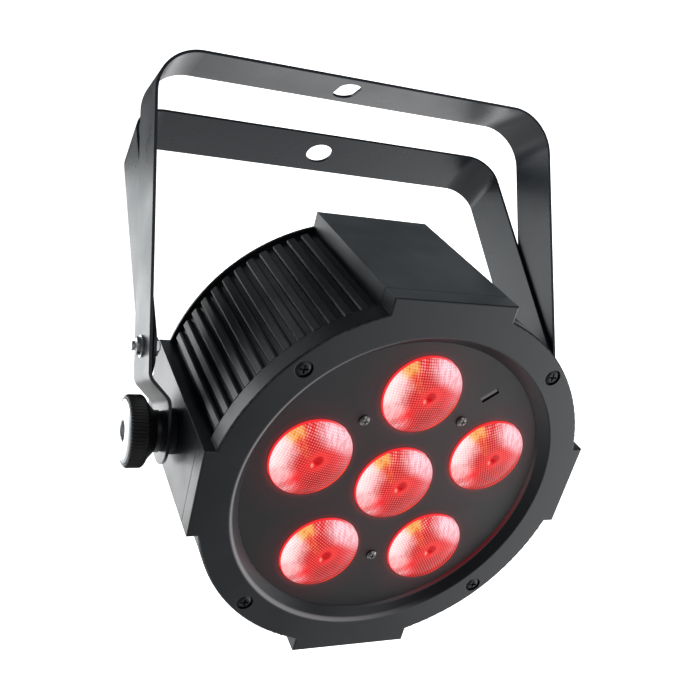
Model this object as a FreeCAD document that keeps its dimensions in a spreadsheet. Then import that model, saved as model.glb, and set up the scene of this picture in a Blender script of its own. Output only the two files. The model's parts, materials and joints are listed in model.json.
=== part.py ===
import FreeCAD, Part
import Sketcher
import math
import os
from FreeCAD import Placement, Rotation, Vector

# LED par light hung from a double yoke.  Millimetres, +Z up, the beam leaves towards -Y.
# The origin is the middle of the top face of the front yoke's bar.
# Pieces of the head are modelled about the tilt axis: y is the distance behind that axis,
# so the front face lies at y = -half_depth, and one placement tilts and lowers them all.

doc = FreeCAD.newDocument("ParLight")
sheet = doc.addObject("Spreadsheet::Sheet", "Dims")

SIZES = [
    ("tilt", 34.1, "head tilt below level, degrees"),
    ("reach", 100.0, "axis to the flats of the four lobes"),
    ("half_depth", 50.0, "half of the head's depth"),
    ("drum_radius", 97.4, "round part of the outline"),
    ("lobe_tall", 31.5, "half width of the top and bottom lobes"),
    ("lobe_side", 22.9, "half width of the left and right lobes"),
    ("bezel_depth", 10.7, "depth of the front shell's side band"),
    ("wall", 2.5, "wall of both shells"),
    ("mouth_radius", 82.5, "mouth at the front face"),
    ("throat_radius", 77.5, "mouth at the lens plate"),
    ("seat_radius", 80.6, "seat of the lens plate"),
    ("plate_radius", 80.3, "lens plate"),
    ("plate_depth", 5.7, "front face back to the lens plate"),
    ("plate_thick", 2.0, "lens plate"),
    ("bezel_screw_ring", 91.0, "ring of the four bezel screws"),
    ("boss_radius", 3.2, "bezel screw bosses in the rear shell"),
    ("groove_depth", 3.0, "depth of the grooves between ribs"),
    ("rib_width", 4.7, "ribs on the drum"),
    ("rib_pitch", 4.5, "angle from rib to rib, degrees"),
    ("rib_first", 17.4, "first rib above the side lobe's axis, degrees"),
    ("rib_bevel", 0.8, "bevel along both edges of a rib"),
    ("rim_band", 7.0, "ribs' rear ends to the back face"),
    ("rim_lip", 2.0, "raised lip at the rear rim"),
    ("back_wall", 5.0, "rear shell's back wall"),
    ("lens_ring", 49.9, "ring of the five outer lenses"),
    ("lens_radius", 20.4, "lens rim"),
    ("lens_rise", 5.2, "crown of the lens in front of the plate"),
    ("lens_cone", 7.2, "small end of the lens cone"),
    ("flange_radius", 21.8, "lens flange behind the plate"),
    ("flange_thick", 1.2, "lens flange"),
    ("tray_radius", 76.0, "lens tray"),
    ("tray_thick", 3.4, "lens tray"),
    ("plate_screw_ring", 44.1, "ring of the three plate screws"),
    ("post_radius", 3.5, "posts under the lens tray"),
    ("board_radius", 72.0, "LED board"),
    ("board_y", -24.0, "front face of the LED board"),
    ("board_thick", 1.6, "every circuit board"),
    ("supply_y", 16.0, "front face of the power supply board"),
    ("sink_radius", 87.0, "heat sink base"),
    ("sink_base", 5.0, "heat sink base"),
    ("sink_fin", 19.0, "heat sink fins"),
    ("sink_post_x", 20.0, "heat sink posts, sideways"),
    ("sink_post_z", 80.0, "heat sink posts, up and down"),
    ("window_ring", 62.4, "infrared window centre"),
    ("window_long", 9.4, "infrared window"),
    ("window_short", 3.2, "infrared window"),
    ("panel_x", 70.0, "half width of the rear panel"),
    ("panel_z", 54.0, "half height of the rear panel"),
    ("panel_thick", 2.0, "rear panel"),
    ("panel_ledge", 7.0, "ledge that carries the rear panel"),
    ("button_radius", 3.5, "menu buttons"),
    ("button_pitch", 14.0, "menu buttons"),
    ("button_z", 18.0, "row of menu buttons"),
    ("button_proud", 2.2, "menu buttons behind the panel"),
    ("loop_rod", 2.0, "safety loop, rod radius"),
    ("loop_half", 11.0, "safety loop, centre to rod"),
    ("loop_leg", 5.0, "safety loop, back face to its bow"),
    ("loop_z", 74.0, "safety loop above the tilt axis"),
    ("strap_width", 31.0, "both yokes' strap"),
    ("strap_thick", 1.5, "both yokes' strap"),
    ("front_span", 115.3, "front yoke, half width over its legs"),
    ("front_drop", 184.4, "hang face down to the tilt axis"),
    ("front_bend", 24.0, "front yoke, outside bend radius"),
    ("joggle_in", 9.6, "step of the legs towards the head"),
    ("joggle_top", 24.0, "joggle's upper bend above the tilt axis"),
    ("joggle_low", 13.5, "joggle's lower bend above the tilt axis"),
    ("bolt_rise", 40.0, "rear yoke's bolts above the tilt axis"),
    ("rear_swing", 23.5, "rear yoke behind the front yoke, degrees"),
    ("rear_rise", 137.8, "rear yoke, bolt to the top of its bar"),
    ("rear_bend", 17.0, "rear yoke, outside bend radius"),
    ("shim", 0.6, "washer between the two yokes"),
    ("slot_width", 12.0, "front yoke's hang slot"),
    ("slot_length", 20.0, "front yoke's hang slot, across the strap"),
    ("slot_shift", 7.5, "hang slot, to the left of the bar's middle"),
    ("rear_hang_radius", 7.75, "rear yoke's hang hole"),
    ("bolt_radius", 2.5, "M5 yoke bolts"),
    ("stud_radius", 4.0, "M8 knob studs"),
    ("spacer_radius", 11.0, "friction spacers"),
    ("insert_radius", 6.5, "threaded inserts"),
    ("insert_deep", 18.0, "threaded inserts"),
    ("grip_radius", 17.2, "knob grip"),
    ("grip_length", 8.0, "knob grip"),
    ("hub_radius", 10.0, "knob hub"),
    ("hub_length", 3.2, "knob hub"),
    ("cone_length", 4.8, "knob, hub to grip"),
    ("washer_thick", 0.8, "knob washers"),
    ("fit_gap", 0.05, "radial running clearance"),
]
for row, (alias, value, note) in enumerate(SIZES, start=1):
    sheet.set("A%d" % row, note)
    sheet.set("B%d" % row, str(value))
    sheet.setAlias("B%d" % row, alias)
doc.recompute()

parts = []


def size(alias):
    """A driving dimension's value."""
    return float(getattr(sheet, alias))


def plus(*terms):
    """An expression that adds its terms."""
    return " + ".join("(%s)" % term for term in terms)


# ---------------------------------------------------------------- places

FRONT_Y = "-Dims.half_depth"
PARTING_Y = "-Dims.half_depth + Dims.bezel_depth"
PLATE_Y = "-Dims.half_depth + Dims.plate_depth"
FLANGE_Y = plus(PLATE_Y, "Dims.plate_thick")
TRAY_BACK_Y = plus(FLANGE_Y, "Dims.tray_thick")
SINK_Y = "Dims.board_y + Dims.board_thick"
FIN_Y = plus(SINK_Y, "Dims.sink_base")
BACK_WALL_Y = "Dims.half_depth - Dims.back_wall"
PANEL_Y = "Dims.half_depth - Dims.panel_thick"
STRAP_X = "Dims.front_span - Dims.joggle_in"
OUTER_LENS_ANGLES = [90, 18, -54, -126, 162]
PLATE_SCREW_ANGLES = [54, 126, 270]
CORNERS = [(1, 1), (-1, 1), (-1, -1), (1, -1)]

head_place = Placement(Vector(0, 0, -size("front_drop")), Rotation(Vector(1, 0, 0), size("tilt")))
bolt_height = size("bolt_rise") - size("front_drop")
rear_place = Placement(Vector(0, 0, bolt_height), Rotation(Vector(1, 0, 0), -size("rear_swing")))


def on_head(x=0.0, y=0.0, z=0.0, turn=None):
    """A place on the tilted head."""
    return head_place.multiply(Placement(Vector(x, y, z), turn or Rotation()))


def ring_point(radius, angle):
    """Expressions for a point on a ring about the head's axis."""
    return ("%s * cos(%s deg)" % (radius, angle), "%s * sin(%s deg)" % (radius, angle))


def ring_values(radius, angle):
    turn = math.radians(angle)
    return radius * math.cos(turn), radius * math.sin(turn)


# ---------------------------------------------------------------- feature helpers

def new_body(label, place=None):
    body = doc.addObject("PartDesign::Body", label)
    body.Label = label
    body.Placement = place or Placement()
    parts.append(body)
    return body


def new_sketch(body, plane, level="0"):
    """A sketch on one of the body's planes, moved along that plane's normal."""
    sketch = body.newObject("Sketcher::SketchObject", body.Label + "_sketch")
    support = [item for item in body.Origin.OriginFeatures if item.Role == plane][0]
    sketch.AttachmentSupport = [(support, "")]
    sketch.MapMode = "FlatFace"
    sketch.setExpression("AttachmentOffset.Base.z", level)
    return sketch


def face_sketch(body, y):
    """A sketch facing the beam, at distance y behind the tilt axis."""
    return new_sketch(body, "XZ_Plane", "-(%s)" % y)


def place_point(sketch, edge, end, x, y, guess):
    """Fix one point of the sketch at the expressions x and y."""
    for kind, text, value, axis in (("DistanceX", x, guess[0], -2), ("DistanceY", y, guess[1], -1)):
        if str(text) == "0":
            sketch.addConstraint(Sketcher.Constraint("PointOnObject", edge, end, axis))
            continue
        index = sketch.addConstraint(Sketcher.Constraint(kind, -1, 1, edge, end, value))
        sketch.setExpression("Constraints[%d]" % index, str(text))


def polygon(sketch, corners):
    """A closed outline through corners given as pairs of expressions."""
    count = len(corners)
    guesses = []
    for number in range(count):
        turn = 2.0 * math.pi * number / count
        guesses.append((60.0 * math.cos(turn), 60.0 * math.sin(turn)))
    first = sketch.GeometryCount
    for number in range(count):
        start = Vector(guesses[number][0], guesses[number][1], 0)
        following = guesses[(number + 1) % count]
        sketch.addGeometry(Part.LineSegment(start, Vector(following[0], following[1], 0)), False)
    for number in range(count):
        edge = first + number
        after = first + (number + 1) % count
        sketch.addConstraint(Sketcher.Constraint("Coincident", edge, 2, after, 1))
        place_point(sketch, edge, 1, corners[number][0], corners[number][1], guesses[number])


def box_outline(sketch, x0, x1, y0, y1):
    polygon(sketch, [(x0, y0), (x1, y0), (x1, y1), (x0, y1)])


def circle(sketch, radius, x="0", y="0"):
    edge = sketch.addGeometry(Part.Circle(Vector(1, 1, 0), Vector(0, 0, 1), 1.0), False)
    index = sketch.addConstraint(Sketcher.Constraint("Radius", edge, 1.0))
    sketch.setExpression("Constraints[%d]" % index, str(radius))
    place_point(sketch, edge, 3, x, y, (1.0, 1.0))


def check_change(body, before, grows):
    """Stop if a feature left its body's volume as it was."""
    doc.recompute()
    change = body.Shape.Volume - before
    if (change > 0) != grows or abs(change) < 0.01:
        raise RuntimeError("%s: a feature changed the volume by %.3f" % (body.Label, change))


def volume_of(body):
    return body.Shape.Volume if body.Tip else 0.0


def pad(body, sketch, length, reverse=True, middle=False):
    """Add material, from the sketch backwards along +Y unless told otherwise."""
    before = volume_of(body)
    feature = body.newObject("PartDesign::Pad", body.Label + "_pad")
    feature.Profile = sketch
    feature.Reversed = reverse
    feature.Midplane = middle
    feature.setExpression("Length", str(length))
    body.Tip = feature
    check_change(body, before, True)
    return feature


def pocket(body, sketch, length=None, reverse=False, middle=False):
    """Remove material, from the sketch backwards along +Y unless told otherwise."""
    before = volume_of(body)
    feature = body.newObject("PartDesign::Pocket", body.Label + "_pocket")
    feature.Profile = sketch
    feature.Reversed = reverse
    feature.Midplane = middle
    if length is None:
        feature.Type = "ThroughAll"
    else:
        feature.setExpression("Length", str(length))
    body.Tip = feature
    check_change(body, before, False)
    return feature


def turned(body, axis, corners, kind="PartDesign::Revolution"):
    """Turn an outline in the XY plane about H_Axis (X) or V_Axis (Y)."""
    before = volume_of(body)
    sketch = new_sketch(body, "XY_Plane")
    polygon(sketch, corners)
    feature = body.newObject(kind, body.Label + "_turn")
    feature.Profile = sketch
    feature.ReferenceAxis = (sketch, [axis])
    feature.Angle = 360.0
    body.Tip = feature
    check_change(body, before, kind == "PartDesign::Revolution")
    return feature


def rounded(body, radius, wanted, kind="PartDesign::Fillet"):
    """Fillet or chamfer the edges for which wanted(edge) is true."""
    base = body.Tip
    names = []
    for number, edge in enumerate(base.Shape.Edges, start=1):
        if wanted(edge):
            names.append("Edge%d" % number)
    feature = body.newObject(kind, body.Label + "_edge")
    feature.Base = (base, names)
    feature.setExpression("Size" if kind.endswith("Chamfer") else "Radius", str(radius))
    body.Tip = feature
    doc.recompute()
    if len(body.Shape.Faces) <= len(base.Shape.Faces):
        raise RuntimeError("%s: an edge feature changed nothing" % body.Label)
    return feature


def drum(body, build, y, length, radius, reach, tall, side):
    """Pad or pocket the lobed outline: a disc and two crossing bars."""
    disc = face_sketch(body, y)
    circle(disc, radius)
    build(body, disc, length)
    upright = face_sketch(body, y)
    box_outline(upright, "-(%s)" % tall, tall, "-(%s)" % reach, reach)
    build(body, upright, length)
    level = face_sketch(body, y)
    box_outline(level, "-(%s)" % reach, reach, "-(%s)" % side, side)
    build(body, level, length)


def corner_circles(body, y, radius, x, z):
    """A sketch with one circle in each quadrant."""
    sketch = face_sketch(body, y)
    for sign_x, sign_z in CORNERS:
        circle(sketch, radius, "%d * (%s)" % (sign_x, x), "%d * (%s)" % (sign_z, z))
    return sketch


def solid_copies(label, source, places):
    """Loose identical solids that share one node."""
    copies = [source.Shape.transformed(place.toMatrix()) for place in places]
    group = doc.addObject("Part::Feature", label)
    group.Label = label
    group.Shape = Part.makeCompound(copies)
    parts.append(group)
    return group


# ---------------------------------------------------------------- shells

DIAGONAL = "Dims.bezel_screw_ring * cos(45 deg)"


def make_front_bezel():
    """Front shell: lobed ring with a sloped mouth, a skirt and four screw recesses."""
    body = new_body("front_bezel", on_head())
    drum(body, pad, FRONT_Y, "Dims.bezel_depth", "Dims.drum_radius",
         "Dims.reach", "Dims.lobe_tall", "Dims.lobe_side")

    def front_outline(edge):
        box = edge.BoundBox
        return max(abs(box.YMin + size("half_depth")), abs(box.YMax + size("half_depth"))) < 0.01

    def rear_outline(edge):
        box = edge.BoundBox
        level = size("bezel_depth") - size("half_depth")
        return max(abs(box.YMin - level), abs(box.YMax - level)) < 0.01

    rounded(body, 0.8, front_outline)
    rounded(body, 0.5, rear_outline)
    drum(body, pocket, plus(FRONT_Y, "3"), "Dims.bezel_depth", "Dims.drum_radius - Dims.wall",
         "Dims.reach - Dims.wall", "Dims.lobe_tall - Dims.wall", "Dims.lobe_side - Dims.wall")
    lip = face_sketch(body, plus(FRONT_Y, "2.5"))
    circle(lip, "Dims.seat_radius + Dims.wall + 2")
    pad(body, lip, "Dims.bezel_depth - 2.5")
    slope = "(Dims.mouth_radius - Dims.throat_radius) / Dims.plate_depth"
    turned(body, "V_Axis", [
        ("0", plus(FRONT_Y, "-1")),
        (plus("Dims.mouth_radius", slope), plus(FRONT_Y, "-1")),
        ("Dims.throat_radius", PLATE_Y),
        ("Dims.seat_radius", PLATE_Y),
        ("Dims.seat_radius", plus(PARTING_Y, "1")),
        ("0", plus(PARTING_Y, "1")),
    ], "PartDesign::Groove")

    def mouth_edge(edge):
        return front_outline(edge) and abs(edge.BoundBox.XLength - 2 * size("mouth_radius")) < 0.1

    rounded(body, 1.2, mouth_edge)
    bosses = corner_circles(body, plus(FRONT_Y, "2.5"), "Dims.boss_radius + 1.4", DIAGONAL, DIAGONAL)
    pad(body, bosses, "Dims.bezel_depth - 2.5")
    pocket(body, corner_circles(body, FRONT_Y, "4.2", DIAGONAL, DIAGONAL), "1.6")
    pocket(body, corner_circles(body, FRONT_Y, "1.9", DIAGONAL, DIAGONAL), "Dims.bezel_depth + 1")


def make_bezel_screws():
    """Cross-head screws that hold the two shells together."""
    screw = doc.addObject("PartDesign::Body", "bezel_screw")
    turned(screw, "V_Axis", [
        ("0", "0"), ("2.2", "0"), ("3.6", "0.7"), ("3.6", "1.6"),
        ("1.6", "1.6"), ("1.6", "24"), ("0", "25.5"),
    ])
    cross_recess(screw, "0", 4.2, 0.9)
    edge = size("bezel_screw_ring") * math.cos(math.radians(45))
    places = [on_head(x * edge, -size("half_depth"), z * edge) for x, z in CORNERS]
    solid_copies("bezel_screws", screw, places)


def cross_recess(body, y, length, width, depth="1.1"):
    """A cross-shaped driver recess in a screw's head."""
    for half_x, half_z in ((length / 2, width / 2), (width / 2, length / 2)):
        slot = face_sketch(body, y)
        box_outline(slot, str(-half_x), str(half_x), str(-half_z), str(half_z))
        pocket(body, slot, depth)


def make_rear_housing():
    """Rear shell: ribbed drum with a raised lip, bosses, posts and an opening for the panel."""
    body = new_body("rear_housing", on_head())
    core = "Dims.drum_radius - Dims.groove_depth"
    length = "2 * Dims.half_depth - Dims.bezel_depth"
    drum(body, pad, PARTING_Y, length, core, "Dims.reach", "Dims.lobe_tall", "Dims.lobe_side")
    rim = face_sketch(body, "Dims.half_depth - Dims.rim_lip")
    circle(rim, "Dims.drum_radius")
    pad(body, rim, "Dims.rim_lip")

    def back_outline(edge):
        box = edge.BoundBox
        return max(abs(box.YMin - size("half_depth")), abs(box.YMax - size("half_depth"))) < 0.01

    rounded(body, 0.6, back_outline, "PartDesign::Chamfer")

    rib_sketch = face_sketch(body, PARTING_Y)
    start = "Dims.rib_first * 1 deg"
    inner = "Dims.drum_radius - Dims.groove_depth - 1"
    outer = "sqrt(Dims.drum_radius ^ 2 - (Dims.rib_width / 2) ^ 2)"
    flank = "(%s - Dims.rib_bevel)" % outer
    side = "Dims.rib_width / 2"
    crown = "(Dims.rib_width / 2 - Dims.rib_bevel)"
    profile = [(inner, "-" + side), (flank, "-" + side), (outer, "-" + crown),
               (outer, crown), (flank, side), (inner, side)]
    corners = []
    for along, half in profile:
        corners.append(("(%s) * cos(%s) - (%s) * sin(%s)" % (along, start, half, start),
                        "(%s) * sin(%s) + (%s) * cos(%s)" % (along, start, half, start)))
    polygon(rib_sketch, corners)
    rib = pad(body, rib_sketch, plus(length, "-Dims.rim_band"))
    pattern = body.newObject("PartDesign::MultiTransform", "rib_pattern")
    around = body.newObject("PartDesign::PolarPattern", "ribs_around")
    around.Axis = (rib_sketch, ["N_Axis"])
    around.Occurrences = 12
    around.setExpression("Angle", "11 * Dims.rib_pitch")
    planes = {item.Role: item for item in body.Origin.OriginFeatures}
    sideways = body.newObject("PartDesign::Mirrored", "ribs_sideways")
    sideways.MirrorPlane = (planes["YZ_Plane"], [""])
    below = body.newObject("PartDesign::Mirrored", "ribs_below")
    below.MirrorPlane = (planes["XY_Plane"], [""])
    pattern.Originals = [rib]
    pattern.Transformations = [around, sideways, below]
    before = body.Shape.Volume
    body.Tip = pattern
    check_change(body, before, True)

    hollow = plus(core, "-3")
    drum(body, pocket, plus(PARTING_Y, "-1"), plus(length, "1 - Dims.back_wall"), hollow,
         "Dims.reach - Dims.wall", "Dims.lobe_tall - Dims.wall", "Dims.lobe_side - Dims.wall")
    boss = corner_circles(body, PARTING_Y, "Dims.boss_radius", DIAGONAL, DIAGONAL)
    pad(body, boss, plus(length, "-3"))
    pocket(body, corner_circles(body, PARTING_Y, "1.6 + Dims.fit_gap", DIAGONAL, DIAGONAL), "20")
    posts = corner_circles(body, FIN_Y, "4", "Dims.sink_post_x", "Dims.sink_post_z")
    pad(body, posts, plus(BACK_WALL_Y, "-(%s)" % FIN_Y, "1"))
    bores = corner_circles(body, FIN_Y, "1.5 + Dims.fit_gap", "Dims.sink_post_x", "Dims.sink_post_z")
    pocket(body, bores, "12")

    ledge_x = "Dims.panel_x - Dims.panel_ledge"
    ledge_z = "Dims.panel_z - Dims.panel_ledge"
    opening = face_sketch(body, plus(BACK_WALL_Y, "-1"))
    box_outline(opening, "-(%s)" % ledge_x, ledge_x, "-(%s)" % ledge_z, ledge_z)
    pocket(body, opening, "Dims.back_wall + 2")
    recess = face_sketch(body, PANEL_Y)
    recess_x = "Dims.panel_x + 0.2"
    recess_z = "Dims.panel_z + 0.2"
    box_outline(recess, "-(%s)" % recess_x, recess_x, "-(%s)" % recess_z, recess_z)
    pocket(body, recess, "Dims.panel_thick + 1")
    panel_holes = corner_circles(body, BACK_WALL_Y, "1.5 + Dims.fit_gap",
                                 "Dims.panel_x - 3.5", "Dims.panel_z - 3.5")
    pocket(body, panel_holes, "Dims.back_wall")
    loop_holes = face_sketch(body, BACK_WALL_Y)
    for side in (-1, 1):
        circle(loop_holes, "Dims.loop_rod + Dims.fit_gap", "%d * Dims.loop_half" % side, "Dims.loop_z")
    pocket(body, loop_holes, "Dims.back_wall + 1")

    for side in (-1, 1):
        wall = new_sketch(body, "YZ_Plane", "%d * (Dims.reach - Dims.wall + 1)" % side)
        circle(wall, "Dims.insert_radius + 3")
        pad(body, wall, "Dims.insert_deep - Dims.wall + 1", reverse=side > 0)
    axle = new_sketch(body, "YZ_Plane")
    circle(axle, "Dims.insert_radius")
    pocket(body, axle, middle=True)


# ---------------------------------------------------------------- optics

def make_lens_plate():
    """Dark plate in the mouth, with six lens holes, three screw holes and a window."""
    body = new_body("lens_plate", on_head())
    sheet_face = face_sketch(body, PLATE_Y)
    circle(sheet_face, "Dims.plate_radius")
    circle(sheet_face, "Dims.lens_radius + 0.25")
    for angle in OUTER_LENS_ANGLES:
        circle(sheet_face, "Dims.lens_radius + 0.25", *ring_point("Dims.lens_ring", angle))
    for angle in PLATE_SCREW_ANGLES:
        circle(sheet_face, "1.6", *ring_point("Dims.plate_screw_ring", angle))
    pad(body, sheet_face, "Dims.plate_thick")
    window = face_sketch(body, plus(PLATE_Y, "-1"))
    polygon(window, window_corners("0"))
    pocket(body, window, "Dims.plate_thick + 2")


WINDOW_ANGLE = 53.7
WINDOW_TURN = 38.0


def window_corners(inset):
    """The infrared window's corners on the lens plate, drawn in by inset."""
    centre = ring_point("Dims.window_ring", WINDOW_ANGLE)
    corners = []
    for along, across in ((-1, -1), (1, -1), (1, 1), (-1, 1)):
        u = "%d * (Dims.window_long / 2 - %s)" % (along, inset)
        v = "%d * (Dims.window_short / 2 - %s)" % (across, inset)
        x = "%s + (%s) * cos(%s deg) - (%s) * sin(%s deg)" % (centre[0], u, WINDOW_TURN, v, WINDOW_TURN)
        z = "%s + (%s) * sin(%s deg) + (%s) * cos(%s deg)" % (centre[1], u, WINDOW_TURN, v, WINDOW_TURN)
        corners.append((x, z))
    return corners


def make_infrared_window():
    """Tinted window and the receiver behind it."""
    window = new_body("infrared_window", on_head())
    pane = face_sketch(window, plus(PLATE_Y, "0.8"))
    polygon(pane, window_corners("0.1"))
    pad(window, pane, "Dims.plate_thick - 0.8")
    x, z = ring_values(size("window_ring"), WINDOW_ANGLE)
    receiver = new_body("infrared_receiver", on_head(x, 0, z))
    case = face_sketch(receiver, plus("Dims.board_y", "-9"))
    box_outline(case, "-3", "3", "-2.6", "2.6")
    pad(receiver, case, "9")


def make_plate_screws():
    """Three pan-head screws through the lens plate."""
    screw = doc.addObject("PartDesign::Body", "plate_screw")
    turned(screw, "V_Axis", [
        ("0", "-1.5"), ("1.7", "-1.4"), ("2.6", "-0.7"), ("2.7", "0"),
        ("1.4", "0"), ("1.4", "13"), ("0", "14"),
    ])
    cross_recess(screw, "-1.5", 3.0, 0.7, "0.9")
    front = size("plate_depth") - size("half_depth")
    places = []
    for angle in PLATE_SCREW_ANGLES:
        x, z = ring_values(size("plate_screw_ring"), angle)
        places.append(on_head(x, front, z))
    solid_copies("plate_screws", screw, places)


def make_lens(label, x, z):
    """One moulded collimator: crowned front, flange, cone and a socket for its emitter."""
    body = new_body(label, on_head(x, 0, z))
    cone_back = "Dims.board_y - 2.9"
    turned(body, "V_Axis", [
        ("0", plus(PLATE_Y, "-Dims.lens_rise")),
        ("0.35 * Dims.lens_radius", plus(PLATE_Y, "-0.93 * Dims.lens_rise")),
        ("0.65 * Dims.lens_radius", plus(PLATE_Y, "-0.72 * Dims.lens_rise")),
        ("0.86 * Dims.lens_radius", plus(PLATE_Y, "-0.43 * Dims.lens_rise")),
        ("Dims.lens_radius - 0.4", plus(PLATE_Y, "-0.12 * Dims.lens_rise")),
        ("Dims.lens_radius", PLATE_Y),
        ("Dims.lens_radius", FLANGE_Y),
        ("Dims.flange_radius", FLANGE_Y),
        ("Dims.flange_radius", plus(FLANGE_Y, "Dims.flange_thick")),
        ("0.86 * Dims.lens_radius", plus(FLANGE_Y, "Dims.flange_thick")),
        ("Dims.lens_cone", cone_back),
        ("3.6", cone_back),
        ("3.6", plus(cone_back, "-4")),
        ("0", plus(cone_back, "-5.5")),
    ])


def make_lenses():
    make_lens("lens_centre", 0.0, 0.0)
    for number, angle in enumerate(OUTER_LENS_ANGLES, start=1):
        x, z = ring_values(size("lens_ring"), angle)
        make_lens("lens_outer_%d" % number, x, z)


def make_lens_tray():
    """Moulded tray that clamps the six lens flanges against the plate."""
    body = new_body("lens_tray", on_head())
    tray = face_sketch(body, FLANGE_Y)
    circle(tray, "Dims.tray_radius")
    hole = "0.86 * Dims.lens_radius + 0.4"
    circle(tray, hole)
    for angle in OUTER_LENS_ANGLES:
        circle(tray, hole, *ring_point("Dims.lens_ring", angle))
    for angle in PLATE_SCREW_ANGLES:
        circle(tray, "1.6", *ring_point("Dims.plate_screw_ring", angle))
    circle(tray, "6", *ring_point("Dims.window_ring", WINDOW_ANGLE))
    pad(body, tray, "Dims.tray_thick")
    seats = face_sketch(body, FLANGE_Y)
    circle(seats, "Dims.flange_radius + 0.3")
    for angle in OUTER_LENS_ANGLES:
        circle(seats, "Dims.flange_radius + 0.3", *ring_point("Dims.lens_ring", angle))
    pocket(body, seats, "Dims.flange_thick")


def make_lens_posts():
    """Three threaded posts between the heat sink and the lens tray."""
    post = doc.addObject("PartDesign::Body", "lens_post")
    foot = face_sketch(post, TRAY_BACK_Y)
    circle(foot, "Dims.post_radius")
    circle(foot, "1.4 + Dims.fit_gap")
    pad(post, foot, plus(SINK_Y, "-(%s)" % TRAY_BACK_Y))
    places = []
    for angle in PLATE_SCREW_ANGLES:
        x, z = ring_values(size("plate_screw_ring"), angle)
        places.append(on_head(x, 0, z))
    solid_copies("lens_posts", post, places)


def make_led_board():
    """Metal-core board with six emitters, screwed flat to the heat sink."""
    body = new_body("led_board", on_head())
    disc = face_sketch(body, "Dims.board_y")
    circle(disc, "Dims.board_radius")
    for angle in PLATE_SCREW_ANGLES:
        circle(disc, "Dims.post_radius + 0.3", *ring_point("Dims.plate_screw_ring", angle))
    pad(body, disc, "Dims.board_thick")
    emitter = doc.addObject("PartDesign::Body", "emitter")
    base = face_sketch(emitter, "Dims.board_y - 0.9")
    box_outline(base, "-3.4", "3.4", "-3.4", "3.4")
    pad(emitter, base, "0.9")
    turned(emitter, "V_Axis", [
        ("0", "Dims.board_y - 2.5"), ("1.6", "Dims.board_y - 2"), ("2.3", "Dims.board_y - 0.9"),
        ("0", "Dims.board_y - 0.9"),
    ])
    places = [on_head()]
    for angle in OUTER_LENS_ANGLES:
        x, z = ring_values(size("lens_ring"), angle)
        places.append(on_head(x, 0, z))
    solid_copies("led_emitters", emitter, places)


def make_heat_sink():
    """Cast base with upright fins behind the LED board, and its four screws."""
    body = new_body("heat_sink", on_head())
    base = face_sketch(body, SINK_Y)
    circle(base, "Dims.sink_radius")
    for sign_x, sign_z in CORNERS:
        circle(base, "1.7", "%d * Dims.sink_post_x" % sign_x, "%d * Dims.sink_post_z" % sign_z)
    for angle in PLATE_SCREW_ANGLES:
        circle(base, "1.8", *ring_point("Dims.plate_screw_ring", angle))
    pad(body, base, "Dims.sink_base")
    fins = face_sketch(body, FIN_Y)
    for number in range(-5, 6):
        middle = 11.0 * number
        half = 0.92 * math.sqrt(66.0 ** 2 - middle ** 2)
        box_outline(fins, str(middle - 1.2), str(middle + 1.2), str(-half), str(half))
    pad(body, fins, "Dims.sink_fin")
    screw = doc.addObject("PartDesign::Body", "sink_screw")
    turned(screw, "V_Axis", [
        ("0", "-2"), ("2", "-1.9"), ("2.8", "-1"), ("2.8", "0"), ("1.5", "0"), ("1.5", "15"), ("0", "15.8"),
    ])
    front = size("board_y") + size("board_thick")
    places = []
    for sign_x, sign_z in CORNERS:
        places.append(on_head(sign_x * size("sink_post_x"), front, sign_z * size("sink_post_z")))
    solid_copies("heat_sink_screws", screw, places)


# ---------------------------------------------------------------- rear panel

DISPLAY_Z = 38.0
SOCKET_X = 48.0
SOCKET_Z = 22.0
POWER_X = 38.0
POWER_Z = -25.0
FUSE_Z = -25.0
BUTTONS = ["menu_button", "up_button", "down_button", "enter_button"]


def button_x(number):
    """Sideways place of a menu button."""
    return size("button_pitch") * (number - 1.5)


def make_rear_panel():
    """Steel panel that closes the rear shell and carries every connector."""
    body = new_body("rear_panel", on_head())
    plate = face_sketch(body, PANEL_Y)
    box_outline(plate, "-Dims.panel_x", "Dims.panel_x", "-Dims.panel_z", "Dims.panel_z")
    for sign_x, sign_z in CORNERS:
        circle(plate, "1.7", "%d * (Dims.panel_x - 3.5)" % sign_x, "%d * (Dims.panel_z - 3.5)" % sign_z)
    box_outline(plate, "-20.2", "20.2", str(DISPLAY_Z - 8.2), str(DISPLAY_Z + 8.2))
    for number in range(len(BUTTONS)):
        across = "Dims.button_pitch * %s" % (number - 1.5)
        circle(plate, "Dims.button_radius + 0.3", across, "Dims.button_z")
    for side in (-1, 1):
        circle(plate, "12", str(side * SOCKET_X), str(SOCKET_Z))
        box_outline(plate, str(side * POWER_X - 14), str(side * POWER_X + 14),
                    str(POWER_Z - 10.4), str(POWER_Z + 10.4))
    circle(plate, "6.6", "0", str(FUSE_Z))
    pad(body, plate, "Dims.panel_thick")
    screw = doc.addObject("PartDesign::Body", "panel_screw")
    turned(screw, "V_Axis", [
        ("0", "2"), ("1.8", "1.9"), ("2.8", "1"), ("2.8", "0"),
        ("1.5", "0"), ("1.5", "-4.6"), ("0", "-4.9"),
    ])
    edge_x = size("panel_x") - 3.5
    edge_z = size("panel_z") - 3.5
    places = []
    for sign_x, sign_z in CORNERS:
        places.append(on_head(sign_x * edge_x, size("half_depth"), sign_z * edge_z))
    solid_copies("rear_panel_screws", screw, places)


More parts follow.
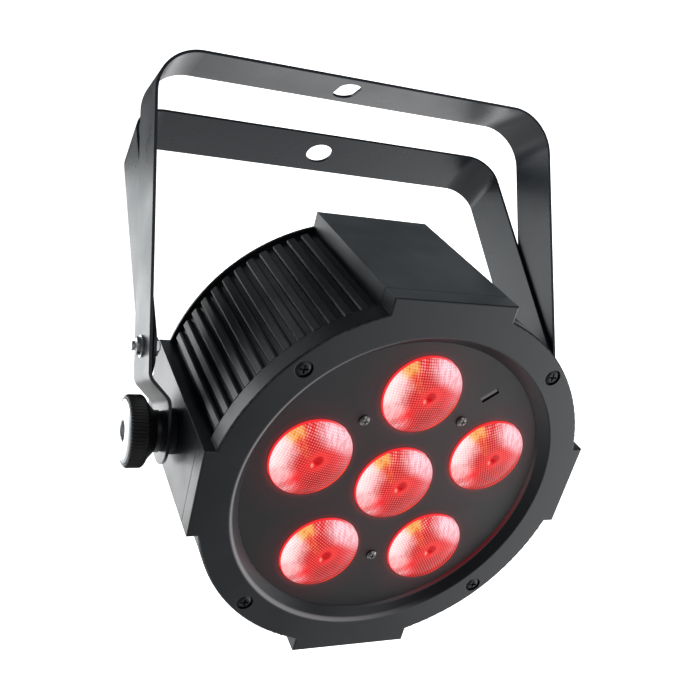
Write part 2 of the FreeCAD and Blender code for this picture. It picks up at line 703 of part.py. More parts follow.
def make_display():
    """Clear display window in the panel, and the display module behind it."""
    window = new_body("display_window", on_head(0, 0, DISPLAY_Z))
    pane = face_sketch(window, PANEL_Y)
    box_outline(pane, "-20", "20", "-8", "8")
    pad(window, pane, "Dims.panel_thick - 0.3")
    module = new_body("display_module", on_head(0, 0, DISPLAY_Z))
    case = face_sketch(module, plus(PANEL_Y, "-7"))
    box_outline(case, "-19", "19", "-7.5", "7.5")
    pad(module, case, "6.8")


def make_buttons():
    """Menu buttons: a cap through the panel and a flange that keeps it in."""
    for number, label in enumerate(BUTTONS):
        body = new_body(label, on_head(button_x(number), 0, size("button_z")))
        turned(body, "V_Axis", [
            ("0", plus(PANEL_Y, "-2.6")),
            ("4.6", plus(PANEL_Y, "-2.6")),
            ("4.6", plus(PANEL_Y, "-1.6")),
            ("Dims.button_radius", plus(PANEL_Y, "-1.6")),
            ("Dims.button_radius", "Dims.half_depth + Dims.button_proud - 0.5"),
            ("Dims.button_radius - 0.6", "Dims.half_depth + Dims.button_proud"),
            ("0", "Dims.half_depth + Dims.button_proud"),
        ])


def make_control_board():
    """Control board behind the display and the buttons, with its tact switches and chips."""
    body = new_body("control_board", on_head())
    front = plus(PANEL_Y, "-7", "-Dims.board_thick")
    board = face_sketch(body, front)
    box_outline(board, "-32", "32", "6", "48")
    pad(body, board, "Dims.board_thick")
    switches = face_sketch(body, plus(front, "Dims.board_thick"))
    for number in range(len(BUTTONS)):
        circle(switches, "2", "Dims.button_pitch * %s" % (number - 1.5), "Dims.button_z")
    pad(body, switches, "3")
    chips = face_sketch(body, plus(front, "-1.2"))
    for x in (-20, -2, 16):
        box_outline(chips, str(x - 5), str(x + 5), "24", "34")
    pad(body, chips, "1.2")


def make_dmx_socket(label, side, female):
    """Round three-pole data connector with its square flange."""
    body = new_body(label, on_head(side * SOCKET_X, 0, SOCKET_Z))
    flange = face_sketch(body, "Dims.half_depth")
    box_outline(flange, "-12.9", "12.9", "-15.4", "15.4")
    pad(body, flange, "1.8")
    rounded(body, 2.5, lambda edge: edge.BoundBox.YLength > 1.7)
    shell = face_sketch(body, "Dims.half_depth - 20")
    circle(shell, "11.7")
    pad(body, shell, "20.5")
    cavity = face_sketch(body, "Dims.half_depth - 12")
    if female:
        circle(cavity, "9.4")
        circle(cavity, "7.6")
    else:
        circle(cavity, "9.4")
    pocket(body, cavity, "16")
    if female:
        contacts = face_sketch(body, "Dims.half_depth - 12")
        for angle in (90, 210, 330):
            circle(contacts, "1.2", *ring_point("4", angle))
        pocket(body, contacts, "16")
    ears = face_sketch(body, "Dims.half_depth - 1")
    for sign in (-1, 1):
        circle(ears, "1.6", str(sign * 9.5), str(-sign * 12))
    pocket(body, ears, "4")
    if female:
        slot = face_sketch(body, "Dims.half_depth - 1")
        box_outline(slot, "-3.1", "3.1", "10.6", "14.4")
        pocket(body, slot, "4")


def make_dmx_latch():
    """Push tab that releases a plug from the outgoing data socket."""
    body = new_body("dmx_latch", on_head(SOCKET_X, 0, SOCKET_Z))
    tab = face_sketch(body, "Dims.half_depth + 1.1")
    box_outline(tab, "-2.9", "2.9", "11.9", "14.2")
    pad(body, tab, "2.9")


def make_dmx_pins():
    """The three pins of the incoming data socket, standing on its floor."""
    pin = doc.addObject("PartDesign::Body", "dmx_pin")
    turned(pin, "V_Axis", [
        ("0", "0"), ("1.2", "0"), ("1.2", "10.8"), ("0.7", "11.5"), ("0", "11.5"),
    ])
    places = []
    for angle in (90, 210, 330):
        x, z = ring_values(4.0, angle)
        places.append(on_head(x - SOCKET_X, size("half_depth") - 12, z + SOCKET_Z))
    solid_copies("dmx_in_pins", pin, places)


# Places of the mains pins from the socket's centre, x and z.
POWER_PINS = [(-7, 1.5), (0, -2.5), (7, 1.5)]


def make_power_socket(label, side, outlet):
    """Three-pole mains connector: an inlet well, or an outlet with slots."""
    body = new_body(label, on_head(side * POWER_X, 0, POWER_Z))
    flange = face_sketch(body, "Dims.half_depth")
    box_outline(flange, "-16", "16", "-12.4", "12.4")
    pad(body, flange, "2.4")
    rounded(body, 2.0, lambda edge: edge.BoundBox.YLength > 2.3)
    case = face_sketch(body, "Dims.half_depth - 22")
    box_outline(case, "-13.7", "13.7", "-10.1", "10.1")
    pad(body, case, "22.5")
    if outlet:
        groove = face_sketch(body, "Dims.half_depth - 14")
        box_outline(groove, "-12.2", "12.2", "-8.6", "8.6")
        box_outline(groove, "-10.6", "10.6", "-7", "7")
        pocket(body, groove, "18")
        slots = face_sketch(body, "Dims.half_depth - 14")
        for x, z in POWER_PINS:
            box_outline(slots, str(x - 1.1), str(x + 1.1), str(z - 2.1), str(z + 2.1))
        pocket(body, slots, "18")
    else:
        cavity = face_sketch(body, "Dims.half_depth - 14")
        box_outline(cavity, "-12.2", "12.2", "-8.6", "8.6")
        pocket(body, cavity, "18")


def make_power_pins():
    """The three blades of the mains inlet, standing on its floor."""
    blade = doc.addObject("PartDesign::Body", "power_pin")
    outline = new_sketch(blade, "XZ_Plane")
    box_outline(outline, "-1", "1", "-2", "2")
    pad(blade, outline, "12")
    places = []
    for x, z in POWER_PINS:
        places.append(on_head(x - POWER_X, size("half_depth") - 14, z + POWER_Z))
    solid_copies("power_in_pins", blade, places)


def make_fuse():
    """Panel fuse holder and its bayonet cap."""
    holder = new_body("fuse_holder", on_head(0, 0, FUSE_Z))
    turned(holder, "V_Axis", [
        ("3.4", "Dims.half_depth - 24"),
        ("6.4", "Dims.half_depth - 24"),
        ("6.4", "Dims.half_depth"),
        ("8.6", "Dims.half_depth"),
        ("8.6", "Dims.half_depth + 1.6"),
        ("6.3", "Dims.half_depth + 1.6"),
        ("6.3", "Dims.half_depth - 6"),
        ("3.4", "Dims.half_depth - 6"),
    ])
    cap = new_body("fuse_cap", on_head(0, 0, FUSE_Z))
    turned(cap, "V_Axis", [
        ("0", "Dims.half_depth - 5.9"),
        ("6.2", "Dims.half_depth - 5.9"),
        ("6.2", "Dims.half_depth + 1.7"),
        ("6.8", "Dims.half_depth + 1.7"),
        ("6.4", "Dims.half_depth + 6"),
        ("0", "Dims.half_depth + 6"),
    ])
    slot = face_sketch(cap, "Dims.half_depth + 4.8")
    box_outline(slot, "-4.5", "4.5", "-0.6", "0.6")
    pocket(cap, slot, "3")


# Filter choke, transformer, capacitor and rectifier: x and z spans, and height.
SUPPLY_PARTS = [
    (-54, -30, -46, -26, 9),
    (-22, 6, -48, -22, 8),
    (16, 30, -44, -30, 9),
    (36, 54, -20, -4, 6),
]


def make_power_supply():
    """Power supply board, on four feet in front of the panel's lower half."""
    body = new_body("power_supply_board", on_head())
    board = face_sketch(body, "Dims.supply_y")
    box_outline(board, "-60", "60", "-52", "2")
    pad(body, board, "Dims.board_thick")
    for x0, x1, z0, z1, height in SUPPLY_PARTS:
        lump = face_sketch(body, plus("Dims.supply_y", "-%s" % height))
        box_outline(lump, str(x0), str(x1), str(z0), str(z1))
        pad(body, lump, str(height))
    feet = face_sketch(body, plus("Dims.supply_y", "Dims.board_thick"))
    for x in (-56, 56):
        for z in (-43, -2):
            circle(feet, "2.4", str(x), str(z))
    pad(body, feet, plus(PANEL_Y, "-Dims.supply_y", "-Dims.board_thick"))


def make_safety_loop():
    """Bent steel rod that takes the safety cable, riveted through the back wall."""
    body = new_body("safety_loop", on_head(0, 0, size("loop_z")))
    path = body.newObject("Sketcher::SketchObject", "safety_loop_path")
    flat = [item for item in body.Origin.OriginFeatures if item.Role == "XY_Plane"][0]
    path.AttachmentSupport = [(flat, "")]
    path.MapMode = "FlatFace"
    half = size("loop_half")
    wall_y = size("half_depth") - size("back_wall")
    bow_y = size("half_depth") + size("loop_leg")
    bow_centre = "Dims.half_depth + Dims.loop_leg"
    path.addGeometry(Part.LineSegment(Vector(-half, wall_y, 0), Vector(-half, bow_y, 0)), False)
    bow_circle = Part.Circle(Vector(0, bow_y, 0), Vector(0, 0, 1), half)
    path.addGeometry(Part.ArcOfCircle(bow_circle, 0, math.pi), False)
    path.addGeometry(Part.LineSegment(Vector(half, bow_y, 0), Vector(half, wall_y, 0)), False)
    path.addConstraint(Sketcher.Constraint("Tangent", 0, 2, 1, 2))
    path.addConstraint(Sketcher.Constraint("Tangent", 1, 1, 2, 1))
    place_point(path, 0, 1, "-Dims.loop_half", BACK_WALL_Y, (-half, wall_y))
    place_point(path, 0, 2, "-Dims.loop_half", bow_centre, (-half, bow_y))
    place_point(path, 2, 2, "Dims.loop_half", BACK_WALL_Y, (half, wall_y))
    section = face_sketch(body, BACK_WALL_Y)
    circle(section, "Dims.loop_rod", "-Dims.loop_half", "0")
    sweep = body.newObject("PartDesign::AdditivePipe", "safety_loop_pipe")
    sweep.Profile = section
    sweep.Spine = path
    body.Tip = sweep
    check_change(body, 0.0, True)


# ---------------------------------------------------------------- yokes

def near_any(edge, corners):
    """True for a straight edge along Y that passes near one of the corners (x, z)."""
    box = edge.BoundBox
    if box.YLength < 5 or box.XLength > 0.01:
        return False
    return any(abs(box.XMin - x) < 0.05 and abs(box.ZMin - z) < 0.05 for x, z in corners)


def make_front_yoke():
    """U-shaped strap that hangs the light; its legs joggle in to meet the tilt axis."""
    body = new_body("front_yoke")
    drop = "-Dims.front_drop"
    miter = "Dims.strap_thick * tan(atan(Dims.joggle_in / (Dims.joggle_top - Dims.joggle_low)) / 2)"
    span = "Dims.front_span"
    inner = "Dims.front_span - Dims.strap_thick"
    low = STRAP_X
    low_inner = "%s - Dims.strap_thick" % STRAP_X
    upper = plus(drop, "Dims.joggle_top")
    lower = plus(drop, "Dims.joggle_low")
    tip = plus(drop, "-Dims.strap_width / 2")
    right_outer = [(span, "0"), (span, upper), (low, lower), (low, tip)]
    right_inner = [
        (low_inner, tip),
        (low_inner, plus(lower, miter)),
        (inner, plus(upper, miter)),
        (inner, "-Dims.strap_thick"),
    ]
    corners = right_outer + right_inner
    corners += [("-(%s)" % x, z) for x, z in reversed(right_outer + right_inner)]
    strap = new_sketch(body, "XZ_Plane")
    polygon(strap, corners)
    pad(body, strap, "Dims.strap_width", middle=True)
    reach = size("front_span")
    thick = size("strap_thick")
    outer_top = [(sign * reach, 0.0) for sign in (-1, 1)]
    inner_top = [(sign * (reach - thick), -thick) for sign in (-1, 1)]
    rounded(body, "Dims.front_bend", lambda edge: near_any(edge, outer_top))
    rounded(body, "Dims.front_bend - Dims.strap_thick", lambda edge: near_any(edge, inner_top))

    def joggle_bend(edge):
        box = edge.BoundBox
        low_z = size("joggle_low") - size("front_drop") - 3
        high_z = size("joggle_top") - size("front_drop") + 3
        return box.YLength > 5 and low_z < box.ZMin < high_z and box.ZLength < 0.01 and box.XLength < 0.01

    rounded(body, 7.0, joggle_bend)
    round_ends(body, drop, -size("front_drop"))
    straight = "(Dims.slot_length - Dims.slot_width)"
    middle = new_sketch(body, "XY_Plane")
    box_outline(middle, "-Dims.slot_shift - Dims.slot_width / 2", "-Dims.slot_shift + Dims.slot_width / 2",
                "-%s / 2" % straight, "%s / 2" % straight)
    pocket(body, middle, "Dims.strap_thick + 1")
    for sign in (-1, 1):
        slot_end = new_sketch(body, "XY_Plane")
        circle(slot_end, "Dims.slot_width / 2", "-Dims.slot_shift", "%d * %s / 2" % (sign, straight))
        pocket(body, slot_end, "Dims.strap_thick + 1")
    eyes = new_sketch(body, "YZ_Plane")
    circle(eyes, "Dims.stud_radius + 0.4", "0", drop)
    circle(eyes, "Dims.bolt_radius + 0.1", "0", plus(drop, "Dims.bolt_rise"))
    pocket(body, eyes, middle=True)


def round_ends(body, level, height):
    """Round both legs' ends about the pivot: level is its height's expression, height its value."""
    ends = new_sketch(body, "YZ_Plane")
    half = "Dims.strap_width / 2"
    radius = size("strap_width") / 2
    outside = radius + 1
    beyond = "(%s + 1)" % half
    below = "%s - %s" % (level, beyond)
    names = [("-%s" % beyond, level), ("-%s" % beyond, below), (beyond, below), (beyond, level)]
    low = height - outside
    guesses = [(-outside, height), (-outside, low), (outside, low), (outside, height)]
    ring = guesses + [(radius, height)]
    for number in range(4):
        start = Vector(ring[number][0], ring[number][1], 0)
        finish = Vector(ring[number + 1][0], ring[number + 1][1], 0)
        ends.addGeometry(Part.LineSegment(start, finish), False)
    bow_circle = Part.Circle(Vector(0, height, 0), Vector(0, 0, 1), radius)
    ends.addGeometry(Part.ArcOfCircle(bow_circle, math.pi, 2 * math.pi), False)
    closing = Part.LineSegment(Vector(-radius, height, 0), Vector(-outside, height, 0))
    ends.addGeometry(closing, False)
    joints = [(0, 2, 1, 1), (1, 2, 2, 1), (2, 2, 3, 1), (3, 2, 4, 2), (4, 1, 5, 1), (5, 2, 0, 1)]
    for first, first_end, second, second_end in joints:
        ends.addConstraint(Sketcher.Constraint("Coincident", first, first_end, second, second_end))
    for number in range(4):
        place_point(ends, number, 1, names[number][0], names[number][1], guesses[number])
    place_point(ends, 4, 3, "0", level, (0.0, height))
    ends.addConstraint(Sketcher.Constraint("Horizontal", 3))
    ends.addConstraint(Sketcher.Constraint("Horizontal", 5))
    index = ends.addConstraint(Sketcher.Constraint("Radius", 4, radius))
    ends.setExpression("Constraints[%d]" % index, half)
    pocket(body, ends, middle=True)


def make_rear_yoke():
    """Second strap, nested inside the first and bolted to its legs, so that it swings."""
    body = new_body("rear_yoke", rear_place)
    span = "Dims.front_span - Dims.strap_thick - Dims.shim"
    inner = "%s - Dims.strap_thick" % span
    tip = "-Dims.strap_width / 2"
    under = "Dims.rear_rise - Dims.strap_thick"
    right = [(span, "Dims.rear_rise"), (span, tip), (inner, tip), (inner, under)]
    strap = new_sketch(body, "XZ_Plane")
    polygon(strap, right + [("-(%s)" % x, z) for x, z in reversed(right)])
    pad(body, strap, "Dims.strap_width", middle=True)
    reach = size("front_span") - size("strap_thick") - size("shim")
    rise = size("rear_rise")
    thick = size("strap_thick")
    outer_top = [(sign * reach, rise) for sign in (-1, 1)]
    inner_top = [(sign * (reach - thick), rise - thick) for sign in (-1, 1)]
    rounded(body, "Dims.rear_bend", lambda edge: near_any(edge, outer_top))
    rounded(body, "Dims.rear_bend - Dims.strap_thick", lambda edge: near_any(edge, inner_top))
    round_ends(body, "0", 0.0)
    hang = new_sketch(body, "XY_Plane", "Dims.rear_rise")
    circle(hang, "Dims.rear_hang_radius")
    pocket(body, hang, "Dims.strap_thick + 1")
    eyes = new_sketch(body, "YZ_Plane")
    circle(eyes, "Dims.bolt_radius + Dims.fit_gap")
    pocket(body, eyes, middle=True)


def side_places(height):
    """The right and left places at this height, each with its own +X pointing outwards."""
    right = Placement(Vector(0, 0, height), Rotation())
    left = Placement(Vector(0, 0, height), Rotation(Vector(0, 0, 1), 180))
    return [right, left]


def make_yoke_bolts():
    """Bolt, washer and nut on each side, on which the rear yoke swings."""
    span = "Dims.front_span"
    nut_x = "Dims.front_span - 2 * Dims.strap_thick - Dims.shim"
    bolt = doc.addObject("PartDesign::Body", "yoke_bolt")
    turned(bolt, "H_Axis", [
        (plus(nut_x, "-5"), "0"),
        (plus(nut_x, "-5"), "Dims.bolt_radius - 0.4"),
        (plus(nut_x, "-4.6"), "Dims.bolt_radius"),
        (span, "Dims.bolt_radius"),
        (span, "5.4"),
        (plus(span, "0.9"), "5.4"),
        (plus(span, "0.9"), "4.5"),
        (plus(span, "3"), "4.5"),
        (plus(span, "3.6"), "3.6"),
        (plus(span, "3.6"), "2.4"),
        (plus(span, "4.8"), "2.4"),
        (plus(span, "5.1"), "2"),
        (plus(span, "5.1"), "0"),
    ])
    solid_copies("yoke_bolts", bolt, side_places(bolt_height))
    washer = doc.addObject("PartDesign::Body", "yoke_washer")
    ring = new_sketch(washer, "YZ_Plane", "Dims.front_span - Dims.strap_thick - Dims.shim")
    circle(ring, "7.5")
    circle(ring, "Dims.bolt_radius + 0.2")
    pad(washer, ring, "Dims.shim", reverse=False)
    solid_copies("yoke_washers", washer, side_places(bolt_height))
    nut = doc.addObject("PartDesign::Body", "yoke_nut")
    hexagon = new_sketch(nut, "YZ_Plane", nut_x)
    polygon(hexagon, [ring_point("4.6", turn) for turn in range(30, 390, 60)])
    circle(hexagon, "Dims.bolt_radius + 0.02")
    pad(nut, hexagon, "4", reverse=True)
    solid_copies("yoke_nuts", nut, side_places(bolt_height))


# ---------------------------------------------------------------- tilt clamps

def make_tilt_clamp(side, place):
    """Insert, spacer, washer, stud, knob and cap on one side, outwards along +X."""
    face = "Dims.reach"
    insert = new_body("pivot_insert_" + side, place)
    turned(insert, "H_Axis", [
        (plus(face, "-Dims.insert_deep"), "Dims.stud_radius + Dims.fit_gap"),
        (plus(face, "-Dims.insert_deep"), "Dims.insert_radius"),
        (face, "Dims.insert_radius"),
        (face, "Dims.stud_radius + Dims.fit_gap"),
    ])
    spacer = new_body("friction_spacer_" + side, place)
    spacer_end = "%s - Dims.strap_thick" % STRAP_X
    turned(spacer, "H_Axis", [
        (face, "Dims.stud_radius + 0.3"),
        (face, "Dims.spacer_radius"),
        (spacer_end, "Dims.spacer_radius"),
        (spacer_end, "Dims.stud_radius + 0.3"),
    ])
    washer = new_body("knob_washer_" + side, place)
    washer_end = plus(STRAP_X, "Dims.washer_thick")
    turned(washer, "H_Axis", [
        (STRAP_X, "Dims.stud_radius + Dims.fit_gap"),
        (STRAP_X, "Dims.hub_radius - 0.4"),
        (washer_end, "Dims.hub_radius - 0.4"),
        (washer_end, "Dims.stud_radius + Dims.fit_gap"),
    ])
    hub_end = plus(washer_end, "Dims.hub_length")
    cone_end = plus(hub_end, "Dims.cone_length")
    grip_end = plus(cone_end, "Dims.grip_length")
    knob = new_body("knob_" + side, place)
    turned(knob, "H_Axis", [
        (washer_end, "Dims.stud_radius"),
        (washer_end, "Dims.hub_radius"),
        (hub_end, "Dims.hub_radius"),
        (cone_end, "Dims.grip_radius - 1"),
        (plus(cone_end, "1"), "Dims.grip_radius"),
        (plus(grip_end, "-1"), "Dims.grip_radius"),
        (grip_end, "Dims.grip_radius - 1"),
        (grip_end, "Dims.grip_radius - 2"),
        (plus(grip_end, "-1.2"), "Dims.grip_radius - 2"),
        (plus(grip_end, "-1.2"), "Dims.stud_radius"),
    ])
    stud = new_body("knob_stud_" + side, place)
    turned(stud, "H_Axis", [
        (plus(face, "-Dims.insert_deep + 1"), "0"),
        (plus(face, "-Dims.insert_deep + 1"), "Dims.stud_radius - 0.8"),
        (plus(face, "-Dims.insert_deep + 1.8"), "Dims.stud_radius"),
        (plus(grip_end, "-1.6"), "Dims.stud_radius"),
        (plus(grip_end, "-1.6"), "0"),
    ])
    cap = new_body("knob_cap_" + side, place)
    turned(cap, "H_Axis", [
        (plus(grip_end, "-1.2"), "4.6"),
        (plus(grip_end, "-1.2"), "Dims.grip_radius - 2.1"),
        (plus(grip_end, "0.1"), "Dims.grip_radius - 2.1"),
        (plus(grip_end, "0.9"), "Dims.grip_radius - 5"),
        (plus(grip_end, "0.9"), "4.6"),
    ])


def make_everything():
    make_front_bezel()
    make_bezel_screws()
    make_rear_housing()
    make_lens_plate()
    make_infrared_window()
    make_plate_screws()
    make_lenses()
    make_lens_tray()
    make_lens_posts()
    make_led_board()
    make_heat_sink()
    make_rear_panel()
    make_display()
    make_buttons()
    make_control_board()
    make_dmx_socket("dmx_in_socket", -1, female=False)
    make_dmx_socket("dmx_out_socket", 1, female=True)
    make_dmx_latch()
    make_dmx_pins()
    make_power_socket("power_in_socket", -1, outlet=False)
    make_power_socket("power_out_socket", 1, outlet=True)
    make_power_pins()
    make_fuse()
    make_power_supply()
    make_safety_loop()
    make_front_yoke()
    make_rear_yoke()
    make_yoke_bolts()
    make_tilt_clamp("right", on_head())
    make_tilt_clamp("left", on_head(turn=Rotation(Vector(0, 0, 1), 180)))


def write_parts():
    """Check every object, then write one file for each sub-part."""
    doc.recompute()
    for item in doc.Objects:
        if "Invalid" in item.State or "Error" in item.State:
            raise RuntimeError("%s is %s" % (item.Label, item.State))
    os.makedirs("parts", exist_ok=True)
    for part in parts:
        shape = part.Shape
        if shape.isNull() or not shape.isValid():
            raise RuntimeError("%s has no valid shape" % part.Label)
        shape.exportStep("parts/%s.step" % part.Label)
        print("%-22s %d solid(s) %10.1f mm3" % (part.Label, len(shape.Solids), shape.Volume))


make_everything()
write_parts()
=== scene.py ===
import json
import math

import bmesh
import bpy
from mathutils import Matrix, Vector


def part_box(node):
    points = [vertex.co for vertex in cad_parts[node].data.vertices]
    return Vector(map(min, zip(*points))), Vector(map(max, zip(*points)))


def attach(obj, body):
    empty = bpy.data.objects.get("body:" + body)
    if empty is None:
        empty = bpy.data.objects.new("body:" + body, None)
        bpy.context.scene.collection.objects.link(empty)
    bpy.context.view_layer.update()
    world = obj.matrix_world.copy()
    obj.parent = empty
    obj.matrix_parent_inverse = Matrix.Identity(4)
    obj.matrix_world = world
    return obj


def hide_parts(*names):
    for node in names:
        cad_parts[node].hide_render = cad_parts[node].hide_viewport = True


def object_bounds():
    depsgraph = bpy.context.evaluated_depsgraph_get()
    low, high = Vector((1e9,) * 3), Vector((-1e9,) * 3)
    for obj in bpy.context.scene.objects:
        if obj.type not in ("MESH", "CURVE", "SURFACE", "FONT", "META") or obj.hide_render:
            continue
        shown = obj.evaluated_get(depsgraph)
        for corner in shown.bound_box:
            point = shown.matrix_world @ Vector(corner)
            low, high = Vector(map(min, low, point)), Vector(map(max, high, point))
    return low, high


# LED par light in a double yoke.  Metres, +Z up; a level head sends its beam towards -Y.
# The head's own frame has its origin on the tilt axis, y backwards and z up, as in the CAD model.

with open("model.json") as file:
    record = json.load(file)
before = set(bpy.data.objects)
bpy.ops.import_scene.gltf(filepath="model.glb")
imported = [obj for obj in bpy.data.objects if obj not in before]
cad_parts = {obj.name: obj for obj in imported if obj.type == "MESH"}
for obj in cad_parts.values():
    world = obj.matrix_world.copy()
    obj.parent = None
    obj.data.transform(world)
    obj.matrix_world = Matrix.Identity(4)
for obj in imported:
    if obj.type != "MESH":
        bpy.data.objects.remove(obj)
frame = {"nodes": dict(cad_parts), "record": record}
cad_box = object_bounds()

MM = 0.001

# ---------------------------------------------------------------- places from the frame

joints = {joint["name"]: joint for joint in frame["record"]["behaviour"]["joints"]}
forward = Vector(joints["menu_button_press"]["axis"]).normalized()
sideways = Vector((1.0, 0.0, 0.0))
upright = forward.cross(sideways).normalized()
HEAD = Matrix((
    (sideways.x, -forward.x, upright.x, joints["head_tilt"]["pos_m"][0]),
    (sideways.y, -forward.y, upright.y, joints["head_tilt"]["pos_m"][1]),
    (sideways.z, -forward.z, upright.z, joints["head_tilt"]["pos_m"][2]),
    (0.0, 0.0, 0.0, 1.0),
))


def node_box(node):
    """A node's lowest and highest corners at rest."""
    low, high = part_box(node)
    return Vector(low), Vector(high)


def head_box(node):
    """A node's lowest and highest corners in the head's frame."""
    back = HEAD.inverted()
    points = [back @ vertex.co for vertex in frame["nodes"][node].data.vertices]
    low = Vector([min(point[axis] for point in points) for axis in range(3)])
    high = Vector([max(point[axis] for point in points) for axis in range(3)])
    return low, high


# ---------------------------------------------------------------- node helpers

BEVEL_SAMPLES = 6
EDGE_STARTS = 0.985             # cosines between the rounded and the plain normal
EDGE_FULL = 0.86


class Shader:
    """A material's node tree with short ways to add and join nodes."""

    def __init__(self, name):
        self.material = bpy.data.materials.new(name)
        self.material.use_nodes = True
        self.tree = self.material.node_tree
        self.surface = self.tree.nodes["Principled BSDF"]

    @classmethod
    def around(cls, material):
        """A helper for a material that is already made."""
        shader = cls.__new__(cls)
        shader.material = material
        shader.tree = material.node_tree
        shader.surface = shader.tree.nodes["Principled BSDF"]
        return shader

    def node(self, kind, **settings):
        made = self.tree.nodes.new(kind)
        for key, value in settings.items():
            setattr(made, key, value)
        return made

    def join(self, source, target):
        self.tree.links.new(source, target)

    def feed(self, socket, value):
        """Join a socket, or set it to a number or colour."""
        if isinstance(value, bpy.types.NodeSocket):
            self.join(value, socket)
        else:
            socket.default_value = value

    def math(self, operation, first, second=0.0):
        made = self.node("ShaderNodeMath", operation=operation)
        self.feed(made.inputs[0], first)
        self.feed(made.inputs[1], second)
        return made.outputs[0]

    def times(self, first, second):
        return self.math("MULTIPLY", first, second)

    def plus(self, first, second):
        return self.math("ADD", first, second)

    def flat_length(self, first, second):
        """Length of a flat vector from its two parts."""
        return self.math("SQRT", self.plus(self.times(first, first), self.times(second, second)))

    def towards(self, first, second, degrees):
        """How far a flat point lies in this direction."""
        turn = math.radians(degrees)
        return self.plus(self.times(first, math.cos(turn)), self.times(second, math.sin(turn)))

    def smooth(self, value, start, end, low=0.0, high=1.0):
        """A smooth step from low to high as value goes from start to end."""
        made = self.node("ShaderNodeMapRange", interpolation_type="SMOOTHSTEP")
        self.feed(made.inputs["Value"], value)
        made.inputs["From Min"].default_value = start
        made.inputs["From Max"].default_value = end
        made.inputs["To Min"].default_value = low
        made.inputs["To Max"].default_value = high
        return made.outputs["Result"]

    def mix(self, share, first, second):
        made = self.node("ShaderNodeMix", data_type="RGBA", clamp_factor=True)
        self.feed(made.inputs["Factor"], share)
        self.feed(made.inputs["A"], first)
        self.feed(made.inputs["B"], second)
        return made.outputs["Result"]

    def object_point(self):
        return self.node("ShaderNodeTexCoord").outputs["Object"]

    def noise(self, scale, detail=3.0, stretch=None):
        """Noise in the object's own metres, so scale counts waves in a metre."""
        texture = self.node("ShaderNodeTexNoise")
        texture.inputs["Scale"].default_value = scale
        texture.inputs["Detail"].default_value = detail
        point = self.object_point()
        if stretch:
            mapping = self.node("ShaderNodeMapping")
            mapping.inputs["Scale"].default_value = stretch
            self.join(point, mapping.inputs["Vector"])
            point = mapping.outputs["Vector"]
        self.join(point, texture.inputs["Vector"])
        return texture.outputs["Fac"]

    def bump(self, height, distance, strength, normal=None):
        made = self.node("ShaderNodeBump")
        made.inputs["Strength"].default_value = strength
        made.inputs["Distance"].default_value = distance
        self.join(height, made.inputs["Height"])
        if normal:
            self.join(normal, made.inputs["Normal"])
        return made.outputs["Normal"]

    def rounded_normal(self, radius):
        made = self.node("ShaderNodeBevel", samples=BEVEL_SAMPLES)
        made.inputs["Radius"].default_value = radius
        return made.outputs["Normal"]

    def edge_share(self, rounded):
        """1 along an edge's rounding, 0 on the flats."""
        plain = self.node("ShaderNodeNewGeometry").outputs["True Normal"]
        product = self.node("ShaderNodeVectorMath", operation="DOT_PRODUCT")
        self.join(rounded, product.inputs[0])
        self.join(plain, product.inputs[1])
        return self.smooth(product.outputs["Value"], EDGE_STARTS, EDGE_FULL)


def rgba(colour, shade=1.0):
    """A colour, lighter or darker by the shade, with full alpha."""
    return (colour[0] * shade, colour[1] * shade, colour[2] * shade, 1.0)


COAT_SHADE = 1.18
COAT_SMOOTHER = 0.05
COAT_ROUGHER = 0.06
COAT_BUMP = 0.55
STAIN_SHADE = 0.82
STAIN_ROUGHER = 0.1
DRAWN_DEPTH = 0.02 * MM
DRAWN_BUMP = 0.4
TRACE_HEIGHT = 0.04 * MM
TRACE_BUMP = 0.6


def coated(name, colour, roughness, grain=2600.0, depth=0.05, edge=0.35, edge_wear_and_highlight=None, shine=0.5):
    """Powder coat or moulded plastic: fine orange peel, uneven gloss and lighter edges, partly wear and
    partly a painted edge highlight.
    """
    shader = Shader(name)
    surface = shader.surface
    rounded = shader.rounded_normal(edge * MM)
    fine = shader.noise(grain, 2.0)
    broad = shader.noise(28.0, 4.0)
    tint = shader.mix(shader.smooth(broad, 0.35, 0.65), rgba(colour), rgba(colour, COAT_SHADE))
    # Lighter rounded edges in patches: partly wear, partly a painted highlight along the edges.
    if edge_wear_and_highlight:
        patchy = shader.times(shader.edge_share(rounded), shader.smooth(broad, 0.3, 0.7, 0.25, 1.0))
        tint = shader.mix(patchy, tint, rgba(edge_wear_and_highlight))
    shader.join(tint, surface.inputs["Base Color"])
    gloss = shader.smooth(broad, 0.25, 0.75, roughness - COAT_SMOOTHER, roughness + COAT_ROUGHER)
    shader.join(gloss, surface.inputs["Roughness"])
    shader.join(shader.bump(fine, depth * MM, COAT_BUMP, rounded), surface.inputs["Normal"])
    surface.inputs["Specular IOR Level"].default_value = shine
    return shader.material


def bare_metal(name, colour, roughness, stretch=(1.0, 1.0, 1.0), edge=0.15):
    """Plated or brushed metal with fine drawn lines and a soft stain."""
    shader = Shader(name)
    surface = shader.surface
    lines = shader.noise(1800.0, 2.0, stretch)
    stain = shader.noise(90.0, 4.0)
    tint = shader.mix(shader.smooth(stain, 0.3, 0.7), rgba(colour), rgba(colour, STAIN_SHADE))
    shader.join(tint, surface.inputs["Base Color"])
    gloss = shader.smooth(stain, 0.3, 0.7, roughness, roughness + STAIN_ROUGHER)
    shader.join(gloss, surface.inputs["Roughness"])
    rounded = shader.rounded_normal(edge * MM)
    shader.join(shader.bump(lines, DRAWN_DEPTH, DRAWN_BUMP, rounded), surface.inputs["Normal"])
    surface.inputs["Metallic"].default_value = 1.0
    return shader.material


